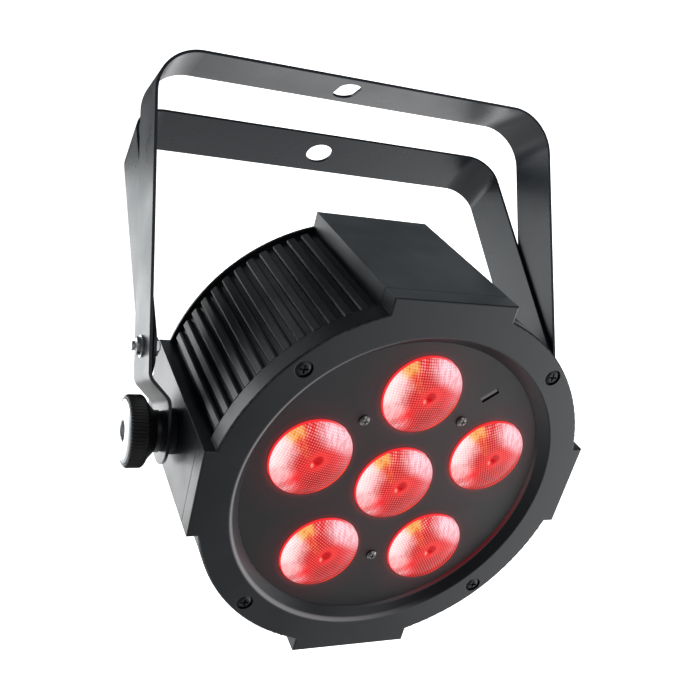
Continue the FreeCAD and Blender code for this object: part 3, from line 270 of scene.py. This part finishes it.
def circuit_board(name, colour):
    """Solder mask with traces and pads showing through it."""
    shader = Shader(name)
    surface = shader.surface
    cells = shader.node("ShaderNodeTexVoronoi", distance="MANHATTAN", feature="DISTANCE_TO_EDGE")
    cells.inputs["Scale"].default_value = 240.0
    shader.join(shader.object_point(), cells.inputs["Vector"])
    trace = shader.smooth(cells.outputs["Distance"], 0.10, 0.04)
    lighter = rgba([part * 1.7 + 0.01 for part in colour])
    shader.join(shader.mix(trace, rgba(colour), lighter), surface.inputs["Base Color"])
    shader.join(shader.bump(trace, TRACE_HEIGHT, TRACE_BUMP), surface.inputs["Normal"])
    surface.inputs["Roughness"].default_value = 0.38
    return shader.material


def tinted_window(name, colour):
    """Glossy smoked plastic."""
    shader = Shader(name)
    surface = shader.surface
    tint = shader.mix(shader.noise(60.0), rgba(colour), rgba(colour, 1.3))
    shader.join(tint, surface.inputs["Base Color"])
    surface.inputs["Roughness"].default_value = 0.06
    surface.inputs["Coat Weight"].default_value = 0.6
    return shader.material


# ---------------------------------------------------------------- materials of the CAD nodes

SHELL = coated("shell_satin_black", (0.006, 0.008, 0.010), 0.36, edge_wear_and_highlight=(0.07, 0.076, 0.082))
YOKE = coated("yoke_satin_black", (0.011, 0.015, 0.021), 0.30, grain=1900.0, depth=0.012, edge=0.4,
              edge_wear_and_highlight=(0.05, 0.056, 0.066), shine=0.32)
PANEL = coated("panel_satin_black", (0.015, 0.016, 0.018), 0.42, edge=0.3)
PLASTIC = coated("moulded_black", (0.012, 0.012, 0.013), 0.48, grain=3400.0, depth=0.02, edge=0.3)
BUTTON = coated("button_grey", (0.09, 0.09, 0.095), 0.45, grain=3400.0, depth=0.02, edge=0.3)
NYLON = coated("nylon_black", (0.010, 0.010, 0.011), 0.55, grain=3000.0, depth=0.02, edge=0.2)
BLACK_SCREW = bare_metal("black_zinc", (0.035, 0.036, 0.040), 0.30, edge=0.12)
DARK_STEEL = bare_metal("dark_zinc", (0.22, 0.21, 0.21), 0.22, edge=0.2)
STEEL = bare_metal("bright_zinc", (0.62, 0.63, 0.65), 0.24, edge=0.12)
BRASS = bare_metal("turned_brass", (0.68, 0.50, 0.24), 0.26)
CAST = bare_metal("cast_aluminium", (0.62, 0.63, 0.64), 0.42)
GREEN_BOARD = circuit_board("green_solder_mask", (0.012, 0.10, 0.035))
WHITE_BOARD = circuit_board("white_solder_mask", (0.55, 0.56, 0.54))
WINDOW = tinted_window("smoked_window", (0.012, 0.006, 0.008))

NODE_MATERIALS = {
    SHELL: ["rear_housing"],
    YOKE: ["front_yoke", "rear_yoke"],
    PANEL: ["rear_panel"],
    PLASTIC: ["lens_tray", "fuse_holder", "fuse_cap", "display_module", "dmx_in_socket", "dmx_out_socket",
              "power_in_socket", "power_out_socket", "infrared_receiver"],
    BUTTON: ["menu_button", "up_button", "down_button", "enter_button"],
    NYLON: ["yoke_washers", "knob_washer_left", "knob_washer_right",
            "friction_spacer_left", "friction_spacer_right"],
    BLACK_SCREW: ["bezel_screws", "rear_panel_screws"],
    DARK_STEEL: ["plate_screws"],
    STEEL: ["heat_sink_screws", "yoke_bolts", "yoke_nuts", "knob_stud_left", "knob_stud_right",
            "safety_loop", "dmx_latch", "dmx_in_pins", "power_in_pins"],
    BRASS: ["lens_posts", "pivot_insert_left", "pivot_insert_right"],
    CAST: ["heat_sink"],
    GREEN_BOARD: ["control_board", "power_supply_board"],
    WHITE_BOARD: ["led_board"],
    WINDOW: ["infrared_window", "display_window"],
}


def paint(node, material):
    """Give a CAD node this material and no other."""
    mesh = frame["nodes"][node].data
    mesh.materials.clear()
    mesh.materials.append(material)


for look, nodes in NODE_MATERIALS.items():
    for node in nodes:
        paint(node, look)


# ---------------------------------------------------------------- mesh helpers

def link_mesh(name, build, material):
    """Turn a bmesh into an object of the scene."""
    mesh = bpy.data.meshes.new(name)
    build.to_mesh(mesh)
    build.free()
    mesh.materials.append(material)
    mesh.shade_smooth()
    made = bpy.data.objects.new(name, mesh)
    bpy.context.scene.collection.objects.link(made)
    return made


def finish_piece(name, build, place, body, material, replaced, sharp):
    """A bmesh as a piece in place that rides on its body; creases past sharp degrees stay sharp."""
    piece = link_mesh(name, build, material)
    piece.matrix_world = place
    piece.data.set_sharp_from_angle(angle=math.radians(sharp))
    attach(piece, body)
    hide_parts(replaced)
    return piece


def ring_of(build, radius, level, count, shape=None):
    """One ring of vertices about the local Y axis; shape(turn) scales its radius."""
    ring = []
    for number in range(count):
        turn = 2.0 * math.pi * number / count
        reach = radius * (shape(turn) if shape else 1.0)
        ring.append(build.verts.new((reach * math.cos(turn), level, reach * math.sin(turn))))
    return ring


def bridge(build, first, second):
    """Join two rings of the same count with quads."""
    count = len(first)
    for number in range(count):
        after = (number + 1) % count
        build.faces.new((first[number], first[after], second[after], second[number]))


def close_rings(build, rings):
    """Join rings one after another, and the last to the first."""
    for first, second in zip(rings, rings[1:] + rings[:1]):
        bridge(build, first, second)
    bmesh.ops.recalc_face_normals(build, faces=build.faces)


# ---------------------------------------------------------------- lenses

LENS_PITCH = 1.25 * MM          # of the grid of pillows
LENS_BUMP = 0.05 * MM
LENS_TURNS = 420
LENS_RINGS = 72
LENS_MIDDLE = 0.02              # the innermost ring, closed by one face, as a share of the radius
LENS_FOOT = 2.0 * MM            # how far the wall goes behind the plate's front
PILLOW_FADE = 0.03              # the outermost share of the radius, where the pillows fade out
DIMPLE = 2.0 * MM
DIMPLE_DEPTH = 0.9 * MM
# Painted red light on the plate round each lens.
SPILL = 4.5 * MM
SPILL_GLOW = 0.09
WIDE_SPILL = 17.0 * MM
WIDE_SPILL_GLOW = 0.016
SPILL_OFFSET = Vector((-0.6 * MM, 0, 0.8 * MM))
# Painted highlight along the mouth's rounded edge and painted red lens light on its inner wall.
LIP_WIDE = 3.4 * MM
LIP_HIGHLIGHT_GLOW = 0.15
RED_LIGHT_GLOW = 0.09

lens_nodes = ["lens_centre"] + ["lens_outer_%d" % number for number in range(1, 6)]
lens_radius = 20.4 * MM
plate_low, plate_high = head_box("lens_plate")
plate_front = plate_low.y
lens_rise = plate_front - head_box("lens_centre")[0].y
mouth_radius = (plate_high.x - plate_low.x) / 2
mouth_front = head_box("front_bezel")[0].y


def lens_material():
    """Lit red lens: white flanks that are painted reflections of the lamps, an amber patch, a dark eye and a
    pillowed face, all self-lit.
    """
    shader = Shader("lens_lit_red")
    surface = shader.surface
    parts = shader.node("ShaderNodeSeparateXYZ")
    shader.join(shader.object_point(), parts.inputs[0])
    x = shader.math("DIVIDE", parts.outputs["X"], lens_radius)
    z = shader.math("DIVIDE", parts.outputs["Z"], lens_radius)

    def distance(across, up, wide=1.0, tall=1.0):
        """Distance from a point of the lens face, in lens radii."""
        first = shader.math("DIVIDE", shader.math("SUBTRACT", x, across), wide)
        second = shader.math("DIVIDE", shader.math("SUBTRACT", z, up), tall)
        return shader.flat_length(first, second)

    reach = distance(0.0, 0.0)

    def along(degrees):
        """How far the point lies in this direction, in lens radii."""
        return shader.towards(x, z, degrees)

    def facing(degrees, narrow):
        """1 towards this direction on the lens face, 0 away from it."""
        cosine = shader.math("DIVIDE", along(degrees), shader.math("MAXIMUM", reach, 0.001))
        return shader.smooth(cosine, math.cos(math.radians(narrow)), math.cos(math.radians(narrow * 0.45)))

    both = shader.times         # joins two shares into the share where both hold
    pillow = shader.node("ShaderNodeAttribute", attribute_name="pillow").outputs["Fac"]
    grain = shader.smooth(pillow, 0.08, 0.70)
    patchy = shader.smooth(shader.noise(110.0, 2.0), 0.35, 0.65)
    streaks = shader.smooth(shader.noise(900.0, 2.0, (0.9, 0.25, 0.25)), 0.40, 0.60)

    def lay(share, colour, tint, dark=0.0, light=1.0):
        """Lay a tint over a colour, strongest on top of the pillows."""
        return shader.mix(both(share, shader.smooth(pillow, 0.0, 0.65, dark, light)), colour, rgba(tint))

    coral = shader.mix(grain, rgba((0.52, 0.008, 0.012)), rgba((1.0, 0.165, 0.140)))
    deep = shader.mix(grain, rgba((0.20, 0.001, 0.003)), rgba((1.0, 0.110, 0.105)))
    colour = shader.mix(shader.smooth(along(-48), -0.15, 0.70), coral, deep)
    colour = shader.mix(both(patchy, 0.45), colour, rgba((0.96, 0.022, 0.028)))
    lower_left = shader.smooth(distance(-0.42, -0.45, 0.26, 0.36), 1.0, 0.3)
    colour = shader.mix(both(lower_left, 0.8), colour, rgba((0.95, 0.020, 0.026)))
    warm = both(facing(133, 17), shader.smooth(reach, 0.12, 0.40))
    colour = lay(both(warm, shader.smooth(streaks, 0.0, 1.0, 0.25, 0.85)), colour, (1.0, 0.24, 0.08), 0.3)
    amber = both(facing(130, 20), shader.smooth(reach, 0.66, 0.86))
    colour = lay(both(amber, shader.smooth(streaks, 0.0, 1.0, 0.55, 1.0)), colour, (1.0, 0.60, 0.05), 0.6)
    # Painted reflections of the studio lamps, from here to the rose flank on the right: pale flanks laid into
    # the lens's glow on the left, top and right.
    painted_top_reflection = both(facing(104, 40), shader.smooth(reach, 0.55, 0.80))
    colour = lay(both(painted_top_reflection, shader.smooth(streaks, 0.0, 1.0, 0.2, 0.9)), colour, (1.0, 0.44, 0.42))
    left = both(facing(180, 50), shader.smooth(reach, 0.36, 0.78))
    colour = lay(both(left, shader.smooth(streaks, 0.0, 1.0, 0.70, 1.0)), colour, (1.25, 0.86, 0.87), 0.62)
    bright = both(facing(168, 32), shader.smooth(reach, 0.66, 0.92))
    colour = lay(bright, colour, (1.2, 1.0, 1.0), 0.60)
    top = both(shader.smooth(along(66), 0.36, 0.68), shader.smooth(along(2), -0.15, 0.30))
    colour = lay(both(top, shader.smooth(streaks, 0.0, 1.0, 0.6, 0.95)), colour, (1.2, 0.88, 0.98), 0.68)
    painted_lower_left_reflection = both(facing(222, 36), shader.smooth(reach, 0.50, 0.86))
    colour = lay(both(painted_lower_left_reflection, shader.smooth(streaks, 0.0, 1.0, 0.45, 1.0)), colour, (1.05, 0.52, 0.54), 0.45)
    painted_right_reflection = both(facing(16, 38), shader.smooth(reach, 0.40, 0.90))
    colour = lay(painted_right_reflection, colour, (1.0, 0.30, 0.36), 0.05, 0.6)
    ember = both(facing(-38, 46), shader.smooth(reach, 0.84, 0.94))
    colour = shader.mix(ember, colour, rgba((1.0, 0.045, 0.012)))
    spot = distance(0.08, 0.08, 0.16, 0.16)
    colour = shader.mix(shader.smooth(spot, 2.1, 0.9, 0.0, 0.5), colour, rgba((1.0, 0.050, 0.045)))
    colour = shader.mix(shader.smooth(spot, 1.05, 0.45), colour, rgba((0.52, 0.003, 0.006)))
    dash = shader.smooth(distance(-0.04, -0.05, 0.06, 0.07), 1.0, 0.2)
    colour = shader.mix(both(dash, 0.6), colour, rgba((1.0, 0.42, 0.30)))
    # The rim line turns paler towards the right, a painted highlight.
    line = shader.smooth(reach, 0.975, 0.990)
    pale = shader.mix(facing(15, 60), rgba((1.0, 0.12, 0.14)), rgba((1.0, 0.42, 0.48)))
    colour = shader.mix(line, colour, pale)
    glow = both(shader.smooth(reach, 0.968, 0.985), facing(150, 110))
    colour = shader.mix(glow, colour, rgba((0.98, 0.030, 0.036)))
    shader.join(colour, surface.inputs["Emission Color"])
    surface.inputs["Emission Strength"].default_value = 1.0
    surface.inputs["Base Color"].default_value = rgba((0.06, 0.0, 0.0))
    surface.inputs["Roughness"].default_value = 0.30
    surface.inputs["Specular IOR Level"].default_value = 0.12
    surface.inputs["Coat Weight"].default_value = 0.06
    surface.inputs["Coat Roughness"].default_value = 0.05
    return shader.material


def plate_material():
    """Matt black plate with a painted pool of red light around each lens, as from stray lens light, drawn as
    a faint glow.
    """
    material = coated("plate_matt_black_painted_red_light", (0.010, 0.008, 0.010), 0.50, grain=3200.0, depth=0.03, shine=0.42)
    shader = Shader.around(material)
    nearest = None
    for node in lens_nodes:
        low, high = node_box(node)
        offset = shader.node("ShaderNodeVectorMath", operation="DISTANCE")
        shader.join(shader.object_point(), offset.inputs[0])
        offset.inputs[1].default_value = (low + high) / 2 + HEAD.to_3x3() @ SPILL_OFFSET
        gap = offset.outputs["Value"]
        nearest = shader.math("MINIMUM", nearest, gap) if nearest else gap
    # Painted light: red glow on the plate, strongest next to each lens.
    spill = shader.smooth(nearest, lens_radius + SPILL, lens_radius)
    wide_spill = shader.smooth(nearest, lens_radius + WIDE_SPILL, lens_radius)
    glow = shader.plus(shader.times(shader.math("POWER", spill, 2.0), SPILL_GLOW),
                       shader.times(wide_spill, WIDE_SPILL_GLOW))
    shader.join(glow, shader.surface.inputs["Emission Strength"])
    shader.surface.inputs["Emission Color"].default_value = rgba((1.0, 0.03, 0.04))
    return material


def bezel_material():
    """The shell's coat, with a painted pale highlight along the rounded edge of the mouth and a painted red
    band of lens light inside it.
    """
    material = coated("bezel_satin_black_painted_highlights", (0.005, 0.007, 0.010), 0.34, edge_wear_and_highlight=(0.07, 0.076, 0.082), shine=0.42)
    shader = Shader.around(material)
    from_axis = shader.node("ShaderNodeVectorMath", operation="SUBTRACT")
    shader.join(shader.object_point(), from_axis.inputs[0])
    from_axis.inputs[1].default_value = HEAD.translation
    parts = []
    for row in HEAD.inverted().to_3x3():
        product = shader.node("ShaderNodeVectorMath", operation="DOT_PRODUCT")
        shader.join(from_axis.outputs["Vector"], product.inputs[0])
        product.inputs[1].default_value = row
        parts.append(product.outputs["Value"])
    across, depth, up = parts
    reach = shader.flat_length(across, up)

    # Painted highlight: a pale glow along the lit rounded edge of the mouth.
    near = shader.smooth(reach, mouth_radius + LIP_WIDE, mouth_radius + LIP_WIDE * 0.6)
    painted_lip_highlight = shader.times(near, shader.smooth(depth, mouth_front + 1.8 * MM, mouth_front + 0.8 * MM))
    painted_lip_highlight = shader.times(painted_lip_highlight, shader.smooth(shader.towards(across, up, 200), -0.02, 0.06))
    # Painted light: a red band where the lenses' light falls on the mouth's inner wall.
    streak = shader.times(shader.smooth(depth, plate_front - 1.6 * MM, plate_front - 0.9 * MM),
                          shader.smooth(shader.towards(across, up, -35), 0.045, 0.08))
    inside = shader.smooth(reach, mouth_radius + LIP_WIDE, mouth_radius + LIP_WIDE * 0.5)
    streak = shader.times(streak, inside)
    glow = shader.plus(shader.times(painted_lip_highlight, LIP_HIGHLIGHT_GLOW), shader.times(streak, RED_LIGHT_GLOW))
    shader.join(glow, shader.surface.inputs["Emission Strength"])
    tint = shader.mix(streak, rgba((1.0, 0.95, 0.98)), rgba((1.0, 0.02, 0.04)))
    shader.join(tint, shader.surface.inputs["Emission Color"])
    return material


LENS = lens_material()
paint("front_bezel", bezel_material())
paint("lens_plate", plate_material())


def crown(reach):
    """Height of the lens crown at this share of its radius."""
    return lens_rise * max(0.0, 1.0 - reach ** 2) ** 0.6


def make_lens(node):
    """Crowned lens with a grid of small pillows and a dimple in its middle."""
    low, high = head_box(node)
    centre = Vector(((low.x + high.x) / 2, plate_front, (low.z + high.z) / 2))
    outer_lens = centre.length > abs(plate_front) + MM
    grid_turn = math.atan2(centre.z, centre.x) if outer_lens else 0.0
    build = bmesh.new()
    rings = []
    pillows = []

    def pillow_at(x, z):
        u = x * math.cos(grid_turn) + z * math.sin(grid_turn)
        v = -x * math.sin(grid_turn) + z * math.cos(grid_turn)
        wave_u = 0.5 + 0.5 * math.cos(2 * math.pi * u / LENS_PITCH)
        wave_v = 0.5 + 0.5 * math.cos(2 * math.pi * v / LENS_PITCH)
        return wave_u * wave_v

    for number in range(LENS_RINGS + 1):
        reach = max(LENS_MIDDLE, number / LENS_RINGS)
        radius = reach * lens_radius
        ring = []
        for step in range(LENS_TURNS):
            turn = 2 * math.pi * step / LENS_TURNS
            x, z = radius * math.cos(turn), radius * math.sin(turn)
            fade = min(1.0, (1.0 - reach) / PILLOW_FADE) * min(1.0, max(0.0, (radius - DIMPLE) / MM))
            pillow = pillow_at(x, z)
            dimple = DIMPLE_DEPTH * max(0.0, 1.0 - (radius / DIMPLE) ** 2)
            height = crown(reach) + LENS_BUMP * pillow * fade - dimple
            ring.append(build.verts.new((x, -height, z)))
            pillows.append(pillow * fade)
        rings.append(ring)
    for inner, outer in zip(rings, rings[1:]):
        bridge(build, inner, outer)
    build.faces.new(rings[0])
    wall = ring_of(build, lens_radius, LENS_FOOT, LENS_TURNS)
    bridge(build, rings[-1], wall)
    build.faces.new(list(reversed(wall)))
    bmesh.ops.recalc_face_normals(build, faces=build.faces)
    pillows += [0.0] * LENS_TURNS
    piece = finish_piece(node + "_lit", build, HEAD @ Matrix.Translation(centre), "head", LENS,
                         node, 60.0)
    attribute = piece.data.attributes.new("pillow", "FLOAT", "POINT")
    attribute.data.foreach_set("value", pillows)


for node in lens_nodes:
    make_lens(node)


# ---------------------------------------------------------------- knobs

KNURLS = 64
STEPS_PER_KNURL = 8
KNURL_DEPTH = 0.045             # as a share of the grip's radius
KNOB_BORE = 4.0 * MM
KNOB_HUB = 10.0 * MM
GRIP_LENGTH = 8.0 * MM
DISC_SEAT = 1.1 * MM            # how far the face disc is let into the grip
DISC_STEPS = 96


def knob_disc_material():
    """Satin grey face disc with turned rings."""
    shader = Shader("knob_face_disc")
    surface = shader.surface
    wave = shader.node("ShaderNodeTexWave", wave_type="RINGS", rings_direction="Y")
    wave.inputs["Scale"].default_value = 900.0
    shader.join(shader.object_point(), wave.inputs["Vector"])
    tint = shader.mix(wave.outputs["Fac"], rgba((0.50, 0.51, 0.53)), rgba((0.60, 0.61, 0.63)))
    shader.join(tint, surface.inputs["Base Color"])
    surface.inputs["Metallic"].default_value = 0.6
    surface.inputs["Roughness"].default_value = 0.30
    return shader.material


KNOB = coated("knob_black", (0.010, 0.010, 0.011), 0.42, grain=3000.0, depth=0.02, edge=0.15)
DISC = knob_disc_material()


def make_knob(side, sign):
    """Knurled grip with a hub, and a recessed face disc with a deep dark centre."""
    low, high = head_box("knob_" + side)
    cap_low, cap_high = head_box("knob_cap_" + side)
    inner, outer = (low.x, high.x) if sign > 0 else (-high.x, -low.x)
    face = cap_high.x if sign > 0 else -cap_low.x
    grip = (high.z - low.z) / 2
    length = outer - inner
    place = HEAD @ Matrix.Translation((sign * inner, 0, 0)) @ Matrix.Rotation(-sign * math.pi / 2, 4, "Z")

    def knurl(depth):
        return lambda turn: 1.0 - depth * (0.5 - 0.5 * math.cos(KNURLS * turn)) ** 0.7

    grip_start = length - GRIP_LENGTH
    profile = [
        (KNOB_BORE, 0.0, 0.0),
        (KNOB_HUB - 0.5 * MM, 0.0, 0.0),
        (KNOB_HUB, 0.5 * MM, 0.0),
        (KNOB_HUB, 2.6 * MM, 0.0),
        (KNOB_HUB + 0.5 * MM, 3.2 * MM, 0.0),
        (grip - 3.0 * MM, grip_start - 1.4 * MM, 0.0),
        (grip - 1.2 * MM, grip_start - 0.5 * MM, 0.01),
        (grip - 0.3 * MM, grip_start + 0.3 * MM, 0.03),
        (grip, grip_start + 0.9 * MM, KNURL_DEPTH),
        (grip, grip_start + 3.5 * MM, KNURL_DEPTH),
        (grip, length - 1.3 * MM, KNURL_DEPTH),
        (grip - 0.35 * MM, length - 0.6 * MM, 0.03),
        (grip - 1.0 * MM, length - 0.1 * MM, 0.01),
        (grip - 1.6 * MM, length, 0.0),
        (grip - 2.0 * MM, length - 0.3 * MM, 0.0),
        (grip - 2.05 * MM, length - 1.2 * MM, 0.0),
        (KNOB_BORE, length - 1.2 * MM, 0.0),
    ]
    build = bmesh.new()
    steps = KNURLS * STEPS_PER_KNURL
    rings = [ring_of(build, radius, level, steps, knurl(depth)) for radius, level, depth in profile]
    close_rings(build, rings)
    finish_piece("knob_grip_" + side, build, place, "knob_" + side, KNOB,
                 "knob_" + side, 28.0)

    top = face - inner
    disc = [
        (grip - 2.15 * MM, length - DISC_SEAT),
        (grip - 2.15 * MM, top - 0.75 * MM),
        (grip - 2.6 * MM, top - 0.45 * MM),
        (grip - 5.0 * MM, top - 0.1 * MM),
        (7.6 * MM, top),
        (5.4 * MM, top),
        (4.9 * MM, top - 0.35 * MM),
        (4.7 * MM, length - DISC_SEAT),
    ]
    build = bmesh.new()
    close_rings(build, [ring_of(build, radius, level, DISC_STEPS) for radius, level in disc])
    finish_piece("knob_face_" + side, build, place, "knob_" + side, DISC,
                 "knob_cap_" + side, 30.0)


make_knob("left", -1)
make_knob("right", 1)


# ---------------------------------------------------------------- floor, lights and camera

FLOOR_DROP = 0.65
PAPER_HALF_WIDTH = 5.0
BEND_STEPS = 16
WALL_SPLIT = 0.42
GLOW_LEFT = 0.06
GLOW_RIGHT = 1.70
GLOW_BACK = 0.80
WORLD_GLOW = 0.13
SKY = (0.92, 0.97, 1.0)         # colours of the lamps
CLEAR_SKY = (0.96, 0.99, 1.0)
CAMERA_FOCAL = 47.13
CAMERA_SHIFT = (0.0142, -0.0189)
CAMERA_OFFSET = Vector((-0.2127, -0.4310, -0.0037))
CAMERA_PITCH = 6.36
CAMERA_TURN = -25.01


def floor_material():
    """Pale paper that glows by itself, behind the light and towards +X."""
    shader = Shader("pale_floor")
    surface = shader.surface
    parts = shader.node("ShaderNodeSeparateXYZ")
    shader.join(shader.object_point(), parts.inputs[0])
    tint = shader.mix(shader.noise(40.0), rgba((0.50, 0.50, 0.50)), rgba((0.52, 0.52, 0.52)))
    shader.join(tint, surface.inputs["Base Color"])
    surface.inputs["Roughness"].default_value = 0.9
    surface.inputs["Emission Color"].default_value = rgba((1.0, 1.0, 1.0))
    behind = shader.smooth(parts.outputs["Y"], -0.15, 0.35, 0.0, GLOW_BACK)
    beside = shader.smooth(parts.outputs["X"], 0.15, 0.85, GLOW_LEFT, GLOW_RIGHT)
    shader.join(shader.math("MAXIMUM", behind, beside), surface.inputs["Emission Strength"])
    return shader.material


def add_backdrop(name, outline, material):
    """A sheet of paper that follows an outline of (y, z) points."""
    build = bmesh.new()
    edges = (-PAPER_HALF_WIDTH, PAPER_HALF_WIDTH)
    rows = [[build.verts.new((x, y, z)) for x in edges] for y, z in outline]
    for first, second in zip(rows, rows[1:]):
        build.faces.new((first[0], first[1], second[1], second[0]))
    sheet = link_mesh(name, build, material)
    return sheet


def make_floor():
    """Pale floor, well below the light, that curves up into a wall behind it."""
    floor_z = cad_box[0].z - FLOOR_DROP
    near, far, bend, top = -3.5, 3.0, 1.0, 3.2
    outline = [(near, floor_z), (far - bend, floor_z)]
    for number in range(1, BEND_STEPS + 1):
        turn = math.pi / 2 * number / BEND_STEPS
        outline.append((far - bend + bend * math.sin(turn), floor_z + bend - bend * math.cos(turn)))
    outline.append((far, WALL_SPLIT))
    paper = floor_material()
    add_backdrop("floor", outline, paper)
    upper = add_backdrop("wall", [(far, WALL_SPLIT), (far, top)], paper)
    upper.visible_glossy = False


def softbox(name, azimuth, elevation, distance, size, radiance, colour):
    """A soft rectangle that faces the head; azimuth 0 is behind it and 90 is towards +X."""
    across, up = math.radians(azimuth), math.radians(elevation)
    aim = Vector((math.sin(across) * math.cos(up), math.cos(across) * math.cos(up), math.sin(up)))
    lamp = bpy.data.lights.new(name, "AREA")
    lamp.shape = "RECTANGLE"
    lamp.size, lamp.size_y = size
    lamp.energy = radiance * math.pi * size[0] * size[1]
    lamp.color = colour
    light = bpy.data.objects.new(name, lamp)
    light.location = HEAD.translation + distance * aim
    light.rotation_euler = aim.to_track_quat("Z", "Y").to_euler()
    light.visible_camera = False
    bpy.context.scene.collection.objects.link(light)


def make_world():
    world = bpy.data.worlds.new("studio")
    world.use_nodes = True
    shade = world.node_tree.nodes["Background"]
    shade.inputs["Color"].default_value = rgba((0.95, 0.98, 1.0))
    shade.inputs["Strength"].default_value = WORLD_GLOW
    bpy.context.scene.world = world


def make_camera():
    """The camera looks up a little at the light from its front left."""
    lens = bpy.data.cameras.new("camera")
    lens.sensor_width = 36.0
    lens.lens = CAMERA_FOCAL
    lens.shift_x, lens.shift_y = CAMERA_SHIFT
    lens.clip_start = 0.01
    camera = bpy.data.objects.new("camera", lens)
    camera.location = HEAD.translation + CAMERA_OFFSET
    camera.rotation_euler = (math.radians(90.0 + CAMERA_PITCH), 0.0, math.radians(CAMERA_TURN))
    bpy.context.scene.collection.objects.link(camera)
    bpy.context.scene.camera = camera


make_floor()
softbox("left_back", -22.0, 7.0, 1.2, (0.58, 0.60), 2.1, CLEAR_SKY)
softbox("left", -53.0, 22.0, 1.2, (0.72, 0.56), 3.4, CLEAR_SKY)
softbox("upper_left", -48.0, 52.0, 1.2, (0.60, 0.46), 1.0, SKY)
softbox("top", 50.0, 56.0, 1.1, (0.9, 0.7), 0.32, (0.80, 0.92, 1.0))
softbox("back", 38.0, 30.0, 1.4, (0.70, 0.60), 1.2, SKY)
softbox("right", 98.0, -14.0, 1.0, (0.8, 0.9), 1.3, SKY)
softbox("front", 157.0, 9.0, 1.3, (0.9, 0.7), 1.2, (0.95, 0.95, 1.0))
make_world()
make_camera()
bpy.context.scene.view_settings.view_transform = "Standard"
